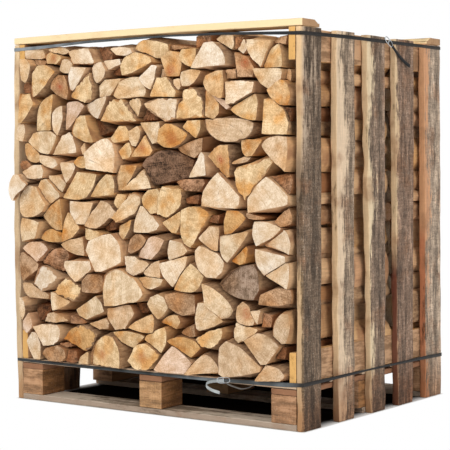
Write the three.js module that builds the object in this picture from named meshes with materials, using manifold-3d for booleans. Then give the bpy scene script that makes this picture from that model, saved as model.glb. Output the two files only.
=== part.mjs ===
// Pallet of split firewood: a low wooden pallet with a slatted side wall at each end, three rows of
// split logs stacked between the walls with their ends to the front and the back, a flat beam across
// the top at the front and the back, and two plastic straps around the whole crate.
//
// Millimetres, +Z up. X runs along the open front, which faces -Y, and the slatted walls stand at
// -X and +X. The origin is on the ground, under the middle of the crate's bounding box.
import * as THREE from 'three';
import { mergeVertices } from 'three/addons/utils/BufferGeometryUtils.js';
import Module from 'manifold-3d';

const wasm = await Module();
wasm.setup();

// Driving dimensions
const PALLET_LENGTH = 1000;
const PALLET_DEPTH = 800;
const BOTTOM_BOARD = { thickness: 17, width: 100 };
const BLOCK = { width: 82, height: 78, depth: 100, middleDepth: 145 };
const STRINGER_THICKNESS = 17;
const DECK_BOARD = { thickness: 14, width: 100, count: 5 };
const SLAT_THICKNESS = 22;
const SLAT_HEIGHT = 1084;
const RAIL = { thickness: 22, lowHeight: 86, topHeight: 88 };
const BEAM = { thickness: 20, depth: 88, wane: 21 };
const BACK_BEAM_SETBACK = 12;
const BACK_BEAM_DROP = 6;
const STRAP = { width: 12, thickness: 1, lowZ: 120, topZ: 1070 };
const BUCKLE = { length: 46, height: 18, wire: 3 };
const LOW_BUCKLE = { x: 262, slope: 0.12 };
const TOP_BUCKLE = { y: 60, slope: 0.5 };
const LOG_LENGTH = 258;
const CLEARANCE = 0.3;

// Sizes that follow from them
const HALF_LENGTH = PALLET_LENGTH / 2;
const HALF_DEPTH = PALLET_DEPTH / 2;
const BLOCK_Z = BOTTOM_BOARD.thickness;
const STRINGER_Z = BLOCK_Z + BLOCK.height;
const DECK_Z = STRINGER_Z + STRINGER_THICKNESS;
const DECK_TOP = DECK_Z + DECK_BOARD.thickness;
const WALL_OUTSIDE = HALF_LENGTH + SLAT_THICKNESS;
const BEAM_Z = SLAT_HEIGHT + 1;

// Each slat of the right-hand wall, from the front: where its two edges are at the top and at the
// foot, measured back from the pallet's front edge, and how far its top stops short of the beam.
const SLATS = [
  { top: [0, 98], foot: [0, 93], short: 0 },
  { top: [174, 276], foot: [183, 270], short: 1 },
  { top: [341, 446], foot: [366, 447], short: 3 },
  { top: [508, 620], foot: [524, 616], short: 4 },
  { top: [685, 787], foot: [696, 800], short: BACK_BEAM_DROP },
];

// The front row's log ends, from the top of the stack down. Each line is one log: how far its end
// stands proud of the pallet's edge, then its corners, each x from the left-hand slats and z from
// LOG_LEVEL, all in centimetres. They are laid out as they look from the right of the crate, so the
// code moves each outline right by SIGHT times the distance it stands proud.
const LOG_LEVEL = 137;
const SIGHT = 0.7;
const LOGS = [
  [2, [-1.5, 80.6], [0.5, 80.4], [3.3, 84.5], [4.8, 88.5], [3.4, 90.2], [-1.5, 90.4]],
  [-0.4, [2.4, 90.3], [8, 90.1], [9.9, 90.6], [9.5, 92.4], [5, 93.6], [2.5, 93.4]],
  [-1, [4.6, 88.6], [9.6, 88.3], [10.8, 89], [8.6, 89.8], [4.8, 89.9]],
  [0.5, [11.2, 88.7], [15.5, 88.2], [18, 89.8], [15.2, 91.1], [12, 91.9], [10.2, 91]],
  [-0.4, [12.6, 92.6], [14.6, 91.5], [18.5, 91.3], [19.6, 92], [17.5, 92.9]],
  [1.5, [19.6, 91.6], [21.4, 88], [30, 87.7], [31, 89.4], [30.2, 92.1], [24, 92.1]],
  [-2, [31, 88.5], [36.9, 88.8], [37, 90.5], [34, 92.3], [31, 92.8]],
  [1, [36.6, 91.6], [38.3, 90], [42, 89.6], [44, 90.2], [43.3, 91.4], [40, 91.9]],
  [1, [39.8, 86.5], [40.3, 84], [44, 84.6], [51.4, 87.4], [50.8, 88.8], [48, 89.9], [44, 89.8], [41.2, 88.4]],
  [-0.4, [45.5, 91.4], [52, 88.6], [55, 88.5], [57.2, 90], [57.1, 91.9], [53, 93], [49, 93.6], [46.6, 92.7]],
  [0, [54.8, 88.3], [57, 83], [61, 83], [61.8, 86], [61.4, 89.4], [57.6, 90.2]],
  [0.3, [60.9, 88], [63.5, 86], [65.6, 85.4], [66.8, 87.4], [66.8, 90.4], [62.4, 90.6]],
  [-0.8, [57.6, 90.5], [66.8, 90.7], [62, 91.5], [57.7, 91.8]],
  [-1, [67.1, 90.8], [69.6, 91.5], [72.4, 92.1], [72.3, 93.6], [67.3, 93.7]],
  [2, [65.6, 84.9], [76.5, 85.5], [76.5, 87.2], [75.4, 89.6], [73, 91.7], [70.2, 91.5]],
  [-0.4, [74, 92.6], [76.6, 91.2], [79.5, 89.7], [80.3, 91], [80, 93.2], [76.2, 93.8]],
  [-0.6, [80.5, 89.6], [82.4, 90.3], [83.2, 92.6], [80.6, 92.8]],
  [0, [81.6, 89.4], [83, 88.3], [84.2, 89.6], [83.5, 92]],
  [1, [84.2, 90.4], [86.2, 86.6], [88.8, 84.3], [91, 88.6], [92, 91.2], [88, 91.7], [84.3, 91.8]],
  [0.5, [89.8, 84.2], [95.7, 84.1], [95.6, 88], [94.8, 90.2], [92.4, 89]],
  [-0.5, [93.6, 90.8], [97.1, 90.2], [97.2, 92.3], [95.2, 92.2]],

  [-1, [0.8, 80.2], [3.8, 79.9], [4.7, 81], [4.2, 83], [2.4, 83.8], [1, 82.3]],
  [2, [4.8, 78.2], [11, 82], [13, 84.2], [15.8, 85.9], [11.6, 87.9], [7.8, 87.7], [5.3, 85.5], [4.8, 82]],
  [0.8, [12.6, 81], [14.6, 79.3], [18.8, 77.7], [19.6, 79.6], [19.4, 82.4], [18.4, 84.5], [15.5, 85],
    [13.2, 83.8]],
  [0.5, [16.2, 86], [18.5, 85.4], [21, 85.6], [21.2, 88], [19.4, 89.3], [17.8, 89.4]],
  [1.5, [19.7, 83], [20.1, 80.5], [21.2, 80], [24.6, 83.3], [27.3, 86.4], [21.4, 86.9], [20.2, 85.3]],
  [1.8, [20.6, 78.4], [23.9, 77.3], [26.6, 76.3], [29.3, 77], [29.5, 80.5], [28.8, 83], [27.9, 85], [23, 81]],
  [1, [28.8, 86.4], [29.3, 83.5], [30.6, 82], [32.5, 82.6], [35.2, 85], [33, 88], [29.7, 87.6]],
  [0.5, [33.4, 88.2], [35.5, 85.2], [38, 86.8], [40, 87.3], [39.6, 88.5]],
  [-2, [35.8, 84.4], [39.8, 84.2], [40, 86.7], [38, 86.5]],
  [0.5, [32, 77.9], [35.8, 78.3], [38, 80.6], [39.9, 82.8], [34, 82.7], [32, 81]],
  [1.2, [26.4, 75.6], [28.2, 73], [31, 71.6], [32.3, 73.6], [34.4, 76], [35.3, 77.8], [30, 77]],
  [1, [38, 78], [39.2, 77.2], [44, 77.3], [48.2, 77.8], [48.8, 79.4], [46.7, 83], [43, 83], [39.8, 81.8]],
  [1.5, [46.9, 82.7], [48.6, 80.7], [51, 79.4], [52.2, 82], [53, 85.8], [51.4, 86.3]],
  [-1.5, [53, 83.1], [56.6, 82.8], [55.8, 85], [53.4, 85.8]],
  [1, [50.9, 77.6], [59.4, 77.2], [60, 78.8], [58.4, 80.5], [56.6, 82.6], [53, 82.8], [52, 80]],
  [0, [59.4, 80], [60.7, 78.9], [61.4, 80], [61.2, 82.2], [59.5, 82]],
  [0.5, [61.7, 80.2], [64.5, 80.3], [67.5, 82.4], [68.8, 84], [65.4, 84.5], [62.2, 83.8], [61.5, 82.4]],
  [1.5, [69.4, 80.8], [70.4, 79], [73.5, 76.6], [76.4, 76.3], [76.6, 84], [73, 83.7], [70, 82.5]],
  [0, [76.9, 81.4], [80.8, 81.7], [80.6, 84], [77, 84]],
  [0.3, [80.9, 84.4], [81.3, 82], [86.2, 81.9], [86.6, 84], [84.6, 87.1], [82.4, 88.1], [80.2, 88.6]],
  [1.6, [76.9, 80.6], [77.4, 74.6], [80, 74.5], [83, 75.8], [86, 77.2], [86.4, 80.2], [82, 80.9]],
  [1.2, [86.6, 83.8], [88.6, 79.9], [91, 78.4], [93.6, 79.7], [96.4, 81.8], [95.5, 83.7]],
  [1.2, [91.3, 78], [92.4, 75.8], [94.6, 74], [97.6, 73.9], [98, 76.5], [97.3, 80], [96.2, 81.5],
    [93.6, 79.5]],
  [-1.5, [97.8, 79.6], [99.2, 79.5], [99.2, 83.4], [96.8, 83.5], [96.7, 81.9]],

  [2, [-0.6, 71], [1.3, 70.9], [3.2, 72.2], [6.6, 76.4], [4.2, 79.5], [-0.6, 79.8]],
  [1, [7, 71], [7.2, 68.5], [12.8, 68.6], [12.5, 72], [13.5, 79.1], [9.5, 77.5], [7.6, 75]],
  [1.8, [13.2, 70.6], [13.5, 68.5], [15.2, 66.9], [17, 70], [18, 73], [18, 75.6], [15.4, 75], [13.6, 73.6]],
  [1, [18.8, 76.4], [18.6, 72], [19.1, 68.5], [20.6, 69.5], [22.2, 72], [24, 74.5], [26.2, 75.5], [23, 76.8]],
  [2, [20.8, 68.1], [21.3, 66.8], [26, 65], [30.1, 64.7], [28.3, 68], [26.6, 72.4], [24.4, 72.5],
    [22.5, 71.6]],
  [-2, [28.6, 70.6], [31.4, 66.4], [35.4, 67.6], [32, 70.4], [29, 72]],
  [1, [31.9, 71], [34, 70.9], [45.6, 70.7], [44, 72.8], [42.6, 75.4], [41, 76.9], [36.6, 76.9], [34.4, 74.4]],
  [0.5, [43, 76], [44.6, 73.2], [46.6, 70.9], [47.2, 73.5], [47.2, 77], [44.6, 76.9]],
  [-2, [47.6, 70.8], [53, 70.9], [51.6, 73], [49.6, 74.1], [47.7, 74.2]],
  [1, [48.3, 75.4], [49, 74.4], [53.4, 72], [55.8, 70.4], [59.6, 71.2], [60, 73.6], [61.3, 76.4], [53, 76.8]],
  [1, [60.2, 73.4], [60.4, 70.8], [69.2, 71.2], [69.2, 75.4], [67.4, 78.4], [64.6, 79.6], [62.8, 78.8]],
  [0.5, [70, 78.8], [70.3, 71.6], [73.4, 70.4], [75.1, 72.2], [75, 74.7], [72.4, 77.2]],
  [0.8, [72.2, 77.5], [75, 75.1], [77.4, 73.3], [78.4, 73.7], [77, 75.4]],
  [1, [78.9, 73], [81, 71.7], [85, 70.2], [87.6, 70.1], [87.7, 73], [87, 76.6], [86.2, 77.8], [81, 75.2]],
  [1.2, [89.7, 75.5], [89.8, 66.3], [98.3, 66.1], [98.4, 69], [97.2, 71.5], [94.6, 73.4], [92, 75.5]],
  [0, [97.6, 71.6], [99.3, 69.4], [99.3, 72.9], [96.8, 73.2]],

  [2.2, [-1.8, 66], [2, 65.3], [2.2, 69], [1.4, 70.4], [-1.8, 70.6]],
  [1.5, [4.1, 65.2], [5.4, 64], [8.6, 62], [11.8, 61.4], [13.6, 64.4], [14.5, 66.7], [12.4, 68],
    [8.6, 68.1], [6, 67.5]],
  [1, [1.7, 64.8], [1.7, 62.2], [2.8, 60.2], [4.9, 59], [8.4, 59], [8.8, 61], [6.2, 62.3], [3.5, 64.7]],
  [1.5, [8.4, 61], [8.6, 59], [10.6, 57.8], [13, 57.2], [15, 58.2], [14.5, 59.4], [12.4, 60.4]],
  [1, [13.5, 61.2], [16, 61.4], [23, 61.8], [22.4, 64], [21.4, 66.7], [20, 67.7], [17, 66.7], [14.8, 63.6]],
  [1, [16.3, 58.7], [17.5, 55], [18.7, 52.9], [20.5, 54.6], [22.1, 57.4], [21.4, 58.6]],
  [0.8, [21.9, 58.8], [23.2, 57.7], [25, 57.2], [27, 57.6], [28, 59], [26.4, 60.6], [23.6, 60.4]],
  [0, [24.5, 63.2], [25.2, 61.2], [26.2, 61.2], [26.3, 62.4], [25.8, 64.6]],
  [2.2, [26.9, 61.4], [27.6, 57], [36.5, 55.9], [37.1, 60], [36.9, 62.4], [36, 65.3], [33.5, 65.6],
    [29.5, 63.6]],
  [0.6, [36.3, 65.2], [37, 64.4], [42.8, 65.4], [42.5, 67.5], [41, 69.2], [39, 69.2], [37.2, 66.8]],
  [1, [43.2, 67.6], [43.3, 63.7], [45, 63.5], [46.3, 65.6], [46.8, 68], [46, 69.1]],
  [1, [38.7, 61.9], [40.3, 59.8], [43, 60.1], [44.3, 61.6], [43.3, 64.5], [41.4, 63.9]],
  [1, [43.9, 60.5], [50.4, 60.7], [51.4, 62.2], [50, 64.5], [48.5, 66.4], [46.6, 64]],
  [0.8, [47, 70], [47.6, 68.9], [51.5, 64.1], [53.7, 64.7], [54.2, 68], [53.9, 70]],
  [1.5, [54.4, 68], [53.9, 64.6], [56, 63.1], [59.4, 63.1], [62, 64.6], [63.6, 66.6], [58.5, 69.4],
    [56.4, 69.5]],
  [0.5, [62.2, 68.6], [64.6, 66.7], [66.5, 65.5], [68.5, 68.3], [68.6, 70.3], [64.1, 70.2]],
  [1.5, [70.7, 70.5], [71.1, 68.3], [72.6, 66.3], [75.6, 64.6], [80, 64.4], [83.5, 65.3], [85.7, 67.5],
    [86, 69.2], [84, 70.2]],
  [0.5, [82.2, 64.8], [82.3, 63.4], [83.1, 61.2], [84.4, 60], [86, 60.4], [88.2, 63.2], [89, 64.6]],
  [2, [89.2, 63.3], [90.2, 61.8], [95.5, 57], [97.2, 56.1], [97.2, 65.2], [93.5, 65.6], [90.4, 64.7]],
  [0.5, [79.1, 58.3], [84, 58.9], [85.6, 60], [83.4, 60.1]],
  [0, [60.2, 62.7], [61.6, 61.6], [66.5, 60], [69.3, 62], [69.4, 65.4], [65.5, 64.6]],
  [-0.6, [48.4, 58], [50.9, 56], [51.5, 52.2], [58, 54], [64, 54.5], [65.8, 59.2], [60.5, 61.4],
    [57, 62.2], [50.2, 60]],
  [1.4, [71, 60.4], [74.4, 57.1], [77.1, 54.4], [78, 54.8], [78.4, 58], [78.2, 63.4], [75.5, 63.4],
    [72.5, 61.9]],
  [1.6, [64.4, 54.5], [70.5, 55.2], [70.5, 56.6], [69.7, 60.4], [68.5, 61.5], [66.4, 57.5]],

  [2, [-2, 50.4], [-0.8, 49.4], [1.4, 51], [2.5, 53], [0.5, 55.1], [-2, 55.2]],
  [1.5, [0.2, 56], [3, 54.2], [9.5, 54.4], [10, 56.2], [8.8, 58], [5, 57.9], [3.4, 56.4]],
  [0.5, [-1.6, 56.6], [3.2, 56.7], [4.5, 58], [3, 59.2], [-1.6, 59.5]],
  [0, [12.1, 54.8], [12.4, 53.5], [14, 51.8], [16.8, 50.1], [17.8, 52.4], [15.4, 54.8]],
  [1, [7.4, 51.5], [9.4, 48.6], [11.8, 46.5], [15.8, 48.6], [15.8, 49.8], [12.7, 52.5], [11.4, 53.9],
    [9, 53.4]],
  [2, [-2, 47], [-1.8, 44], [0.4, 42.8], [3.4, 42.3], [7, 42.9], [9.8, 44.2], [10.6, 46.2], [7.9, 49.5],
    [6.4, 51.4],
    [3, 51.9], [0.4, 50.9]],
  [1, [17.7, 48.4], [23.6, 47.8], [26.6, 48.6], [29.5, 52.3], [30.4, 55.2], [23, 55.9], [21.3, 51.5]],
  [1, [28, 48.8], [34, 49.3], [37.6, 49.5], [37.9, 52], [36.4, 54.9], [34, 55.2], [31, 53]],
  [1, [37.9, 54.7], [38, 50.6], [40.2, 51], [44, 54.4], [46.8, 57.7], [39.7, 57.9]],
  [1, [41.2, 50.9], [50.8, 51.3], [50.2, 55], [48, 57.1]],
  [1, [20.4, 47.2], [20.5, 44], [22.1, 40.7], [25.4, 40.6], [27.2, 43], [28.5, 46.8]],
  [0.5, [47.1, 48.2], [48.4, 45.9], [50.9, 43.9], [52.9, 44.5], [53.8, 50], [52.8, 51.1], [49.6, 50.9]],
  [1.5, [53.3, 44], [56.3, 43.2], [60, 45.1], [61.6, 48], [61.6, 51.1], [55, 51.8], [53.8, 50]],
  [0.5, [60.2, 53.2], [63, 51], [68.2, 50.8], [69.8, 52.8], [69.4, 53.8], [62.5, 53.8]],
  [-0.5, [63, 48.2], [63.7, 47.3], [67.6, 47.1], [68, 49.3], [66, 49.3]],
  [1.8, [68.4, 46.6], [80, 46.1], [81.3, 47.3], [81.6, 49.2], [76.6, 53.8], [75, 55.8], [69.4, 50.6]],
  [1, [80.4, 57], [80.4, 54], [81.6, 51], [84, 48.4], [86.4, 51], [89.6, 55], [92.3, 58.8], [91.4, 60]],
  [1.6, [84.4, 45], [90, 46], [97.8, 47.4], [97.8, 49.4], [92.5, 53.6], [90.5, 54.6], [87, 51.8],
    [84.5, 48.8]],
  [0.3, [92.5, 54.8], [97.6, 50.5], [99.2, 50.2], [99.2, 55.2]],
  [0, [93.4, 42.6], [95.2, 41.2], [99.2, 42.1], [99.2, 43.8], [97.9, 46.1], [96, 45.2]],

  [2, [-0.6, 42], [-0.5, 38], [0.6, 35], [3.5, 35.7], [6.2, 36.1], [6.8, 38], [7.6, 40.8], [3.4, 41.7]],
  [1, [8.8, 42.9], [11.1, 40.4], [14, 38.6], [16.8, 38.8], [17, 43.5], [16.8, 47.8], [15, 46.7],
    [12.5, 45.8]],
  [1, [8.9, 35.9], [12, 35.1], [17, 35.3], [16.9, 37.4], [14.8, 37.9], [12.4, 38.8], [10.3, 38]],
  [1, [17.6, 35.2], [21, 36.7], [23.2, 39.5], [21.2, 41], [20, 43.6], [18.8, 43.8], [17.8, 41]],
  [1, [26, 40], [28.6, 39.4], [32, 39.9], [36.4, 42.7], [37.8, 44], [34.6, 46.9], [32, 47.6], [30, 45],
    [27.6, 42.9]],
  [0.8, [25.7, 36.2], [28, 35.9], [31, 36.9], [33.4, 38], [29, 38.9], [26, 39.4]],
  [-1, [33, 39.5], [34.2, 38.7], [37.8, 39.4], [38.4, 41.2], [36.4, 42.1]],
  [0.5, [37.5, 47], [38.8, 45.5], [40, 46.4], [41.4, 49.2], [38.1, 49.6]],
  [1.3, [37.4, 42.6], [39, 41.5], [44.6, 44.1], [46.6, 47.5], [46.7, 49], [44, 50.2], [42.6, 49.8],
    [40, 45.8]],
  [0.5, [38.6, 38], [39.5, 36.6], [40.4, 36.5], [43, 39.5], [43.8, 42.2], [42, 41.6], [38.9, 40.2]],
  [1, [44.5, 38.8], [50, 38.8], [53, 39.7], [53.8, 40.8], [48.3, 45.7], [46.8, 46.2], [44.8, 42]],
  [0.8, [54.8, 41.5], [57.8, 39], [59.5, 38.9], [61, 41], [61.7, 44.8], [58, 43.2]],
  [1, [61.8, 39], [62.5, 36], [64.5, 34.8], [66.5, 38.3], [68.5, 41.4], [71.2, 44], [69, 45.8],
    [65, 46.2], [62.5, 45.3]],
  [-0.5, [70.8, 42.3], [74.5, 41.8], [75, 43.8], [72.2, 43.8]],
  [1, [76.5, 42.4], [77, 38.8], [79, 39.2], [82, 42.1], [83.8, 43.7], [81, 45.2], [77.3, 45.3]],
  [0, [84, 43.6], [87, 43.1], [90, 43.4], [84.3, 44.7]],
  [1, [86.1, 39], [87, 36], [92, 38.4], [94.8, 40.8], [91, 42.3], [87, 42.5]],
  [1, [89.7, 36.2], [93.5, 35.1], [98.6, 34], [99, 37], [98.6, 39.8], [97.5, 40.4], [93, 37.9]],
  [0.5, [67.9, 37.5], [72.5, 34.5], [74.4, 34.2], [74, 37.5], [74.2, 40.8], [71, 40.8]],
  [1.2, [74.4, 38.2], [74.7, 35], [75.7, 32.6], [77.6, 31.2], [79.5, 33], [83.4, 37.5], [84.6, 39.6],
    [82.4, 39.4]],

  [1.5, [1.7, 33], [4.6, 30.4], [7, 28.8], [9.5, 31], [10.7, 32.8], [7.5, 34.9], [4, 34.8]],
  [1, [-1.4, 31.3], [-1.4, 22.6], [0.6, 23.2], [6.2, 26.5], [6.8, 28], [4.5, 29.4], [1, 31.4]],
  [-0.5, [8.7, 28.8], [13, 26.9], [17, 26.2], [18.5, 28], [19.3, 31.3], [18, 32.7], [15, 33], [11, 31.3]],
  [1, [17.4, 34.4], [19, 32.9], [22, 31.6], [25, 31.3], [24.9, 33], [24.4, 36.4], [20, 35.7]],
  [2.2, [26.1, 33], [27.9, 29.8], [29.4, 26.9], [31, 26.8], [36, 28.9], [39.6, 30.1], [39.5, 34.5],
    [38.3, 36.9],
    [36.5, 38], [33, 37.5], [27.6, 35.6]],
  [1, [16.8, 29.2], [19, 26.1], [22, 23.2], [24.8, 25], [27.8, 27.2], [27.3, 29.5], [20, 29.6]],
  [0.3, [41.7, 33], [43, 32.5], [48, 34.6], [49.3, 36.7], [47.4, 37.8], [44.6, 38], [42.6, 36.4]],
  [1, [45.6, 31.2], [50.4, 31], [54, 33.8], [56.2, 36.7], [52.5, 37.6], [50, 37], [46.4, 33.2]],
  [1, [41.4, 31.6], [41.5, 27], [42.2, 25.3], [47.5, 27.4], [49.8, 29.7], [48.2, 30.3], [45, 31.6]],
  [1, [56.6, 33], [57.3, 31.2], [62.4, 32.8], [63.8, 33.8], [61.7, 36], [57.3, 36.6]],
  [1.3, [53.6, 29.8], [55, 26.4], [58.2, 23.6], [60, 26.6], [63, 29.6], [63.6, 32.3], [57, 30.6]],
  [0.8, [48.2, 27], [49.2, 26.4], [54, 26], [53.7, 28], [53.2, 30.6], [50.6, 29.6]],
  [1, [45.9, 25.4], [48, 23.2], [51, 22.6], [54.3, 24], [55, 25.3], [49, 25.8]],
  [1, [59.4, 22.8], [65, 22.3], [67.2, 23.4], [69, 26.8], [67, 28.8], [64.8, 30.3], [63.4, 28.2],
    [61.4, 26.7]],
  [1.6, [66.6, 34], [66.9, 31], [68.1, 28.7], [70.6, 26.8], [73.5, 26.8], [75.7, 28.6], [76, 31],
    [73.8, 33.4],
    [70, 34.7], [67.8, 35.3]],
  [0.8, [78.7, 31.5], [82, 30.6], [84, 31.4], [84.2, 34.9], [83.6, 35.5]],
  [0.4, [74.6, 25], [77, 22.8], [84, 21.3], [87.4, 21.4], [89.2, 24], [88.2, 28], [86.2, 30.7],
    [82, 30.2], [78, 28.2]],
  [1.2, [87, 32.5], [87.7, 29.8], [89.3, 28], [92, 29.8], [96.3, 31.9], [96.4, 33.3], [92, 34.2], [87.4, 35]],
  [1.2, [89.9, 27.9], [93, 26.7], [97.8, 24.6], [98.2, 27.5], [98.2, 31.4], [96.7, 31.5], [93, 29.8]],

  [1.5, [4.2, 19.5], [6.4, 19], [10, 20.5], [12, 21.8], [16, 24.1], [13, 26.3], [8.8, 28], [6.6, 26.6],
    [5.2, 23.6]],
  [1, [0.7, 22.2], [1.6, 19.5], [3.5, 18], [10.6, 17.8], [10.8, 18.7], [6.2, 18.7], [4, 19.6], [4.8, 22]],
  [-2, [5.4, 10.4], [9, 11], [11.6, 14.2], [11.4, 15.6], [5.6, 15.2]],
  [1.2, [14.2, 19.6], [17, 18.2], [20.5, 17.4], [23, 19.4], [23.8, 21.5], [21, 23.8], [18.5, 24.5],
    [16, 22.9]],
  [1, [12.4, 19.8], [12.8, 14.4], [15.5, 15.1], [19.3, 17.2], [17, 18], [14.2, 19.4]],
  [0, [25.2, 20.6], [30, 20.4], [31.8, 21.2], [31.8, 25.3], [29, 25.8], [26.4, 25.8], [25, 23.5]],
  [2.4, [32.5, 22], [33.4, 17], [37, 17.2], [43, 18.4], [46.4, 19.2], [48.3, 21], [46, 24.3], [42, 25.9],
    [40, 27.3],
    [36, 27.5], [33.2, 25.8]],
  [1.2, [22.2, 15], [23.2, 13.5], [26, 12.5], [30, 13.8], [33, 15.2], [32, 17.8], [30, 19.4], [26, 17.4]],
  [1.6, [34.1, 16], [34.7, 13.4], [37.5, 10.2], [41.2, 10.7], [42.5, 13.2], [44.6, 15.6], [43.8, 17.8],
    [41, 16.8]],
  [-1.5, [45.2, 15.4], [48.6, 15.2], [50, 16.4], [48.8, 18], [45, 18]],
  [1.5, [49.6, 18.3], [51.3, 15.6], [53, 14.1], [55, 15.6], [56.4, 17.8], [54.8, 20.4], [53, 21.1],
    [50.6, 20.2]],
  [0.3, [56, 21], [57.2, 18], [59, 16.8], [62, 15.6], [65.8, 16.4], [65.7, 21.3], [60, 21.8]],
  [1, [66.4, 15], [67.2, 12.3], [68.2, 11.8], [73, 13.2], [75.8, 14.7], [72.5, 15.7], [70, 17.4],
    [69.6, 19.4],
    [67, 19.2]],
  [1.6, [69.9, 25], [70.2, 18], [71.6, 16.4], [74.5, 15.2], [77.4, 16], [79, 17.8], [78, 19.4],
    [75.8, 21.8], [72, 24.4]],
  [1, [80.4, 16.5], [81, 14.9], [82.6, 13.8], [86, 14.4], [86.4, 15.4], [84.4, 19.2], [82.3, 20.4],
    [80.7, 19]],
  [1, [85.2, 18], [86.2, 16.4], [87.7, 14.5], [88.3, 14.6], [88, 18.3]],
  [-0.6, [88.8, 13.8], [92, 14], [92.6, 17], [88.8, 17.6]],
  [1, [88.4, 20.2], [94, 20], [99, 21], [99, 24.4], [93.6, 24.6], [89.2, 22.6]],
  [1, [92.2, 13], [92.5, 11.6], [95.5, 9.9], [97.2, 10.1], [98.8, 14.5], [98.1, 17.8], [95, 17.7],
    [93.1, 15.8]],
  [1, [79.6, 12], [80.4, 8.6], [83.4, 10.2], [87, 12], [87.4, 13.1], [83, 13.4], [80.4, 14.6]],
  [1.6, [83.6, 10], [86.5, 6.8], [89.1, 3.9], [90.4, 4], [92.4, 6.2], [94.2, 8.8], [90, 11.8], [86.6, 12.1]],
  [0.8, [54, 13.3], [57, 12.4], [60.1, 11.8], [61.6, 13.8], [60.4, 15.4], [57, 15.1]],
  [0, [61.2, 10.5], [64, 9.5], [66.3, 9.8], [66.1, 12.8], [63, 11.8]],
  [1, [42.7, 11], [48, 9.9], [51.2, 9.8], [51.3, 13], [50.6, 15.2], [45, 12.8]],

  [2, [-1.2, 17.6], [-1.2, 13], [-0.7, 10.8], [1.1, 12.6], [1.7, 15.5], [0.4, 17.8]],
  [1.6, [0.2, 10.4], [0.3, 8.2], [2.5, 7], [4.3, 8.6], [4.7, 12], [4.2, 14.5], [2.3, 12.5]],
  [0.5, [9.2, 10.7], [14, 10.6], [19, 11.6], [17.4, 12.2], [13, 13.8], [10.3, 12.9]],
  [1.5, [4.8, 9.1], [6.2, 8], [8, 6], [9.6, 3.5], [13.5, 4.1], [15, 5.1], [15.2, 8.5], [14, 10], [8, 9.9]],
  [1.4, [17.3, 6.2], [20, 5.4], [22, 4.2], [25.5, 3], [28.4, 5.1], [29.7, 8], [28, 9.6], [24, 10.7],
    [20.5, 9.3]],
  [0.5, [20.2, 11.1], [23, 10.8], [25.6, 11.3], [24.5, 12.2], [20.5, 13.1]],
  [0.3, [27.8, 11.2], [31, 9.6], [34, 10.2], [34.3, 11.6], [33.3, 13]],
  [1.2, [2, 4.3], [4.6, -0.8], [7.3, -0.9], [7.7, 4], [5.8, 7.1], [4.3, 7.2]],
  [1.4, [8.4, 1], [11, -1], [16, -1], [18, 0.6], [17.2, 2.7], [14.4, 3.9], [9.6, 2.5]],
  [0, [15.7, 4.4], [18, 3.4], [20.6, 4], [19.2, 4.9]],
  [1, [22.9, -1], [26.6, -1], [26.7, 2.7], [23.7, 1]],
  [0.8, [18.4, -0.6], [21, -1], [22.4, -0.3], [21.7, 2.5], [19.1, 2.8]],
  [2.2, [27.4, -0.6], [29.5, -1], [39.7, -1], [40, 1.5], [39.3, 5.5], [36.9, 8.1], [34, 8.3], [31, 7.2],
    [27.8, 3]],
  [1, [37.2, 9.2], [39.7, 6.7], [43.7, 5.2], [46, 7], [47.6, 8.6], [42, 9.8]],
  [2, [41.7, 1.3], [45, -1], [48.8, -1], [51.4, 1.2], [53.7, 3.8], [49, 6.8], [47.4, 6.8], [44.5, 5.8]],
  [1, [48.2, 7.9], [51.5, 6], [54.2, 4.5], [55.6, 7], [56, 10], [55.3, 11.7], [52, 9.4], [49, 9]],
  [1.6, [52.2, -0.4], [54, -1], [62, -1], [64.5, 2.2], [62, 3.9], [59.4, 6.4], [57.8, 6.6], [54.7, 3.3]],
  [1, [56.7, 8], [59.6, 7], [61.6, 5.2], [64.5, 3.9], [67.7, 6.6], [66.4, 8.3], [62.5, 9.4], [58.6, 8.8]],
  [1.2, [65.8, 8.9], [68.5, 7.1], [71.5, 7.1], [74.6, 8.6], [76, 10.6], [75.8, 12.8], [72.5, 12.1],
    [68, 10.3]],
  [1.2, [63, -1], [74.2, 0.6], [73.4, 2.1], [71, 4.5], [68.7, 5], [66.2, 2.8]],
  [2.2, [74.3, 0.2], [75.6, -0.6], [82, 0.3], [88, 1.9], [88.5, 3], [83, 7.2], [79.4, 9.2], [77, 9.4],
    [74.8, 7.5],
    [74.2, 4]],
  [1.2, [87.2, -0.7], [94.3, -0.4], [95.7, 1], [93.8, 2.9], [90.2, 3.6]],
  [-0.5, [92.8, 5.6], [96.6, 5.6], [96.8, 8.6], [95, 8.8]],
];

// How the log ends are kept apart, and how deep their relief is in these solids
const CM = 10;
const SPLIT_GAP = 1;
const CORNER_GAP = 0.6;
const STRAIGHT = 2.4;
const END_INSET = 0.8;
const RELIEF_DEPTH = 55;
const SMALLEST_END = 220;
const BROW_STEPS = 36;
const BROW_SINK = 5;
const STACK_TOP = STRAP.topZ - STRAP.width / 2 - 2;
const STACK_TOP_BEHIND_STRAP = BEAM_Z - 2;

const group = new THREE.Group();
group.name = 'pallet_of_firewood';

const woods = {
  pallet: new THREE.MeshStandardMaterial({ color: 0xb08a66, roughness: 0.85, metalness: 0 }),
  slat: new THREE.MeshStandardMaterial({ color: 0x9c8468, roughness: 0.9, metalness: 0 }),
  rail: new THREE.MeshStandardMaterial({ color: 0xd9a560, roughness: 0.8, metalness: 0 }),
  beam: new THREE.MeshStandardMaterial({ color: 0xf0dcae, roughness: 0.75, metalness: 0 }),
  logs: new THREE.MeshStandardMaterial({ color: 0xe2c196, roughness: 0.85, metalness: 0 }),
};
const strapPlastic = new THREE.MeshStandardMaterial({ color: 0x4a4a4a, roughness: 0.45, metalness: 0 });
const buckleSteel = new THREE.MeshStandardMaterial({ color: 0xc8ccd0, roughness: 0.35, metalness: 0.9 });

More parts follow.
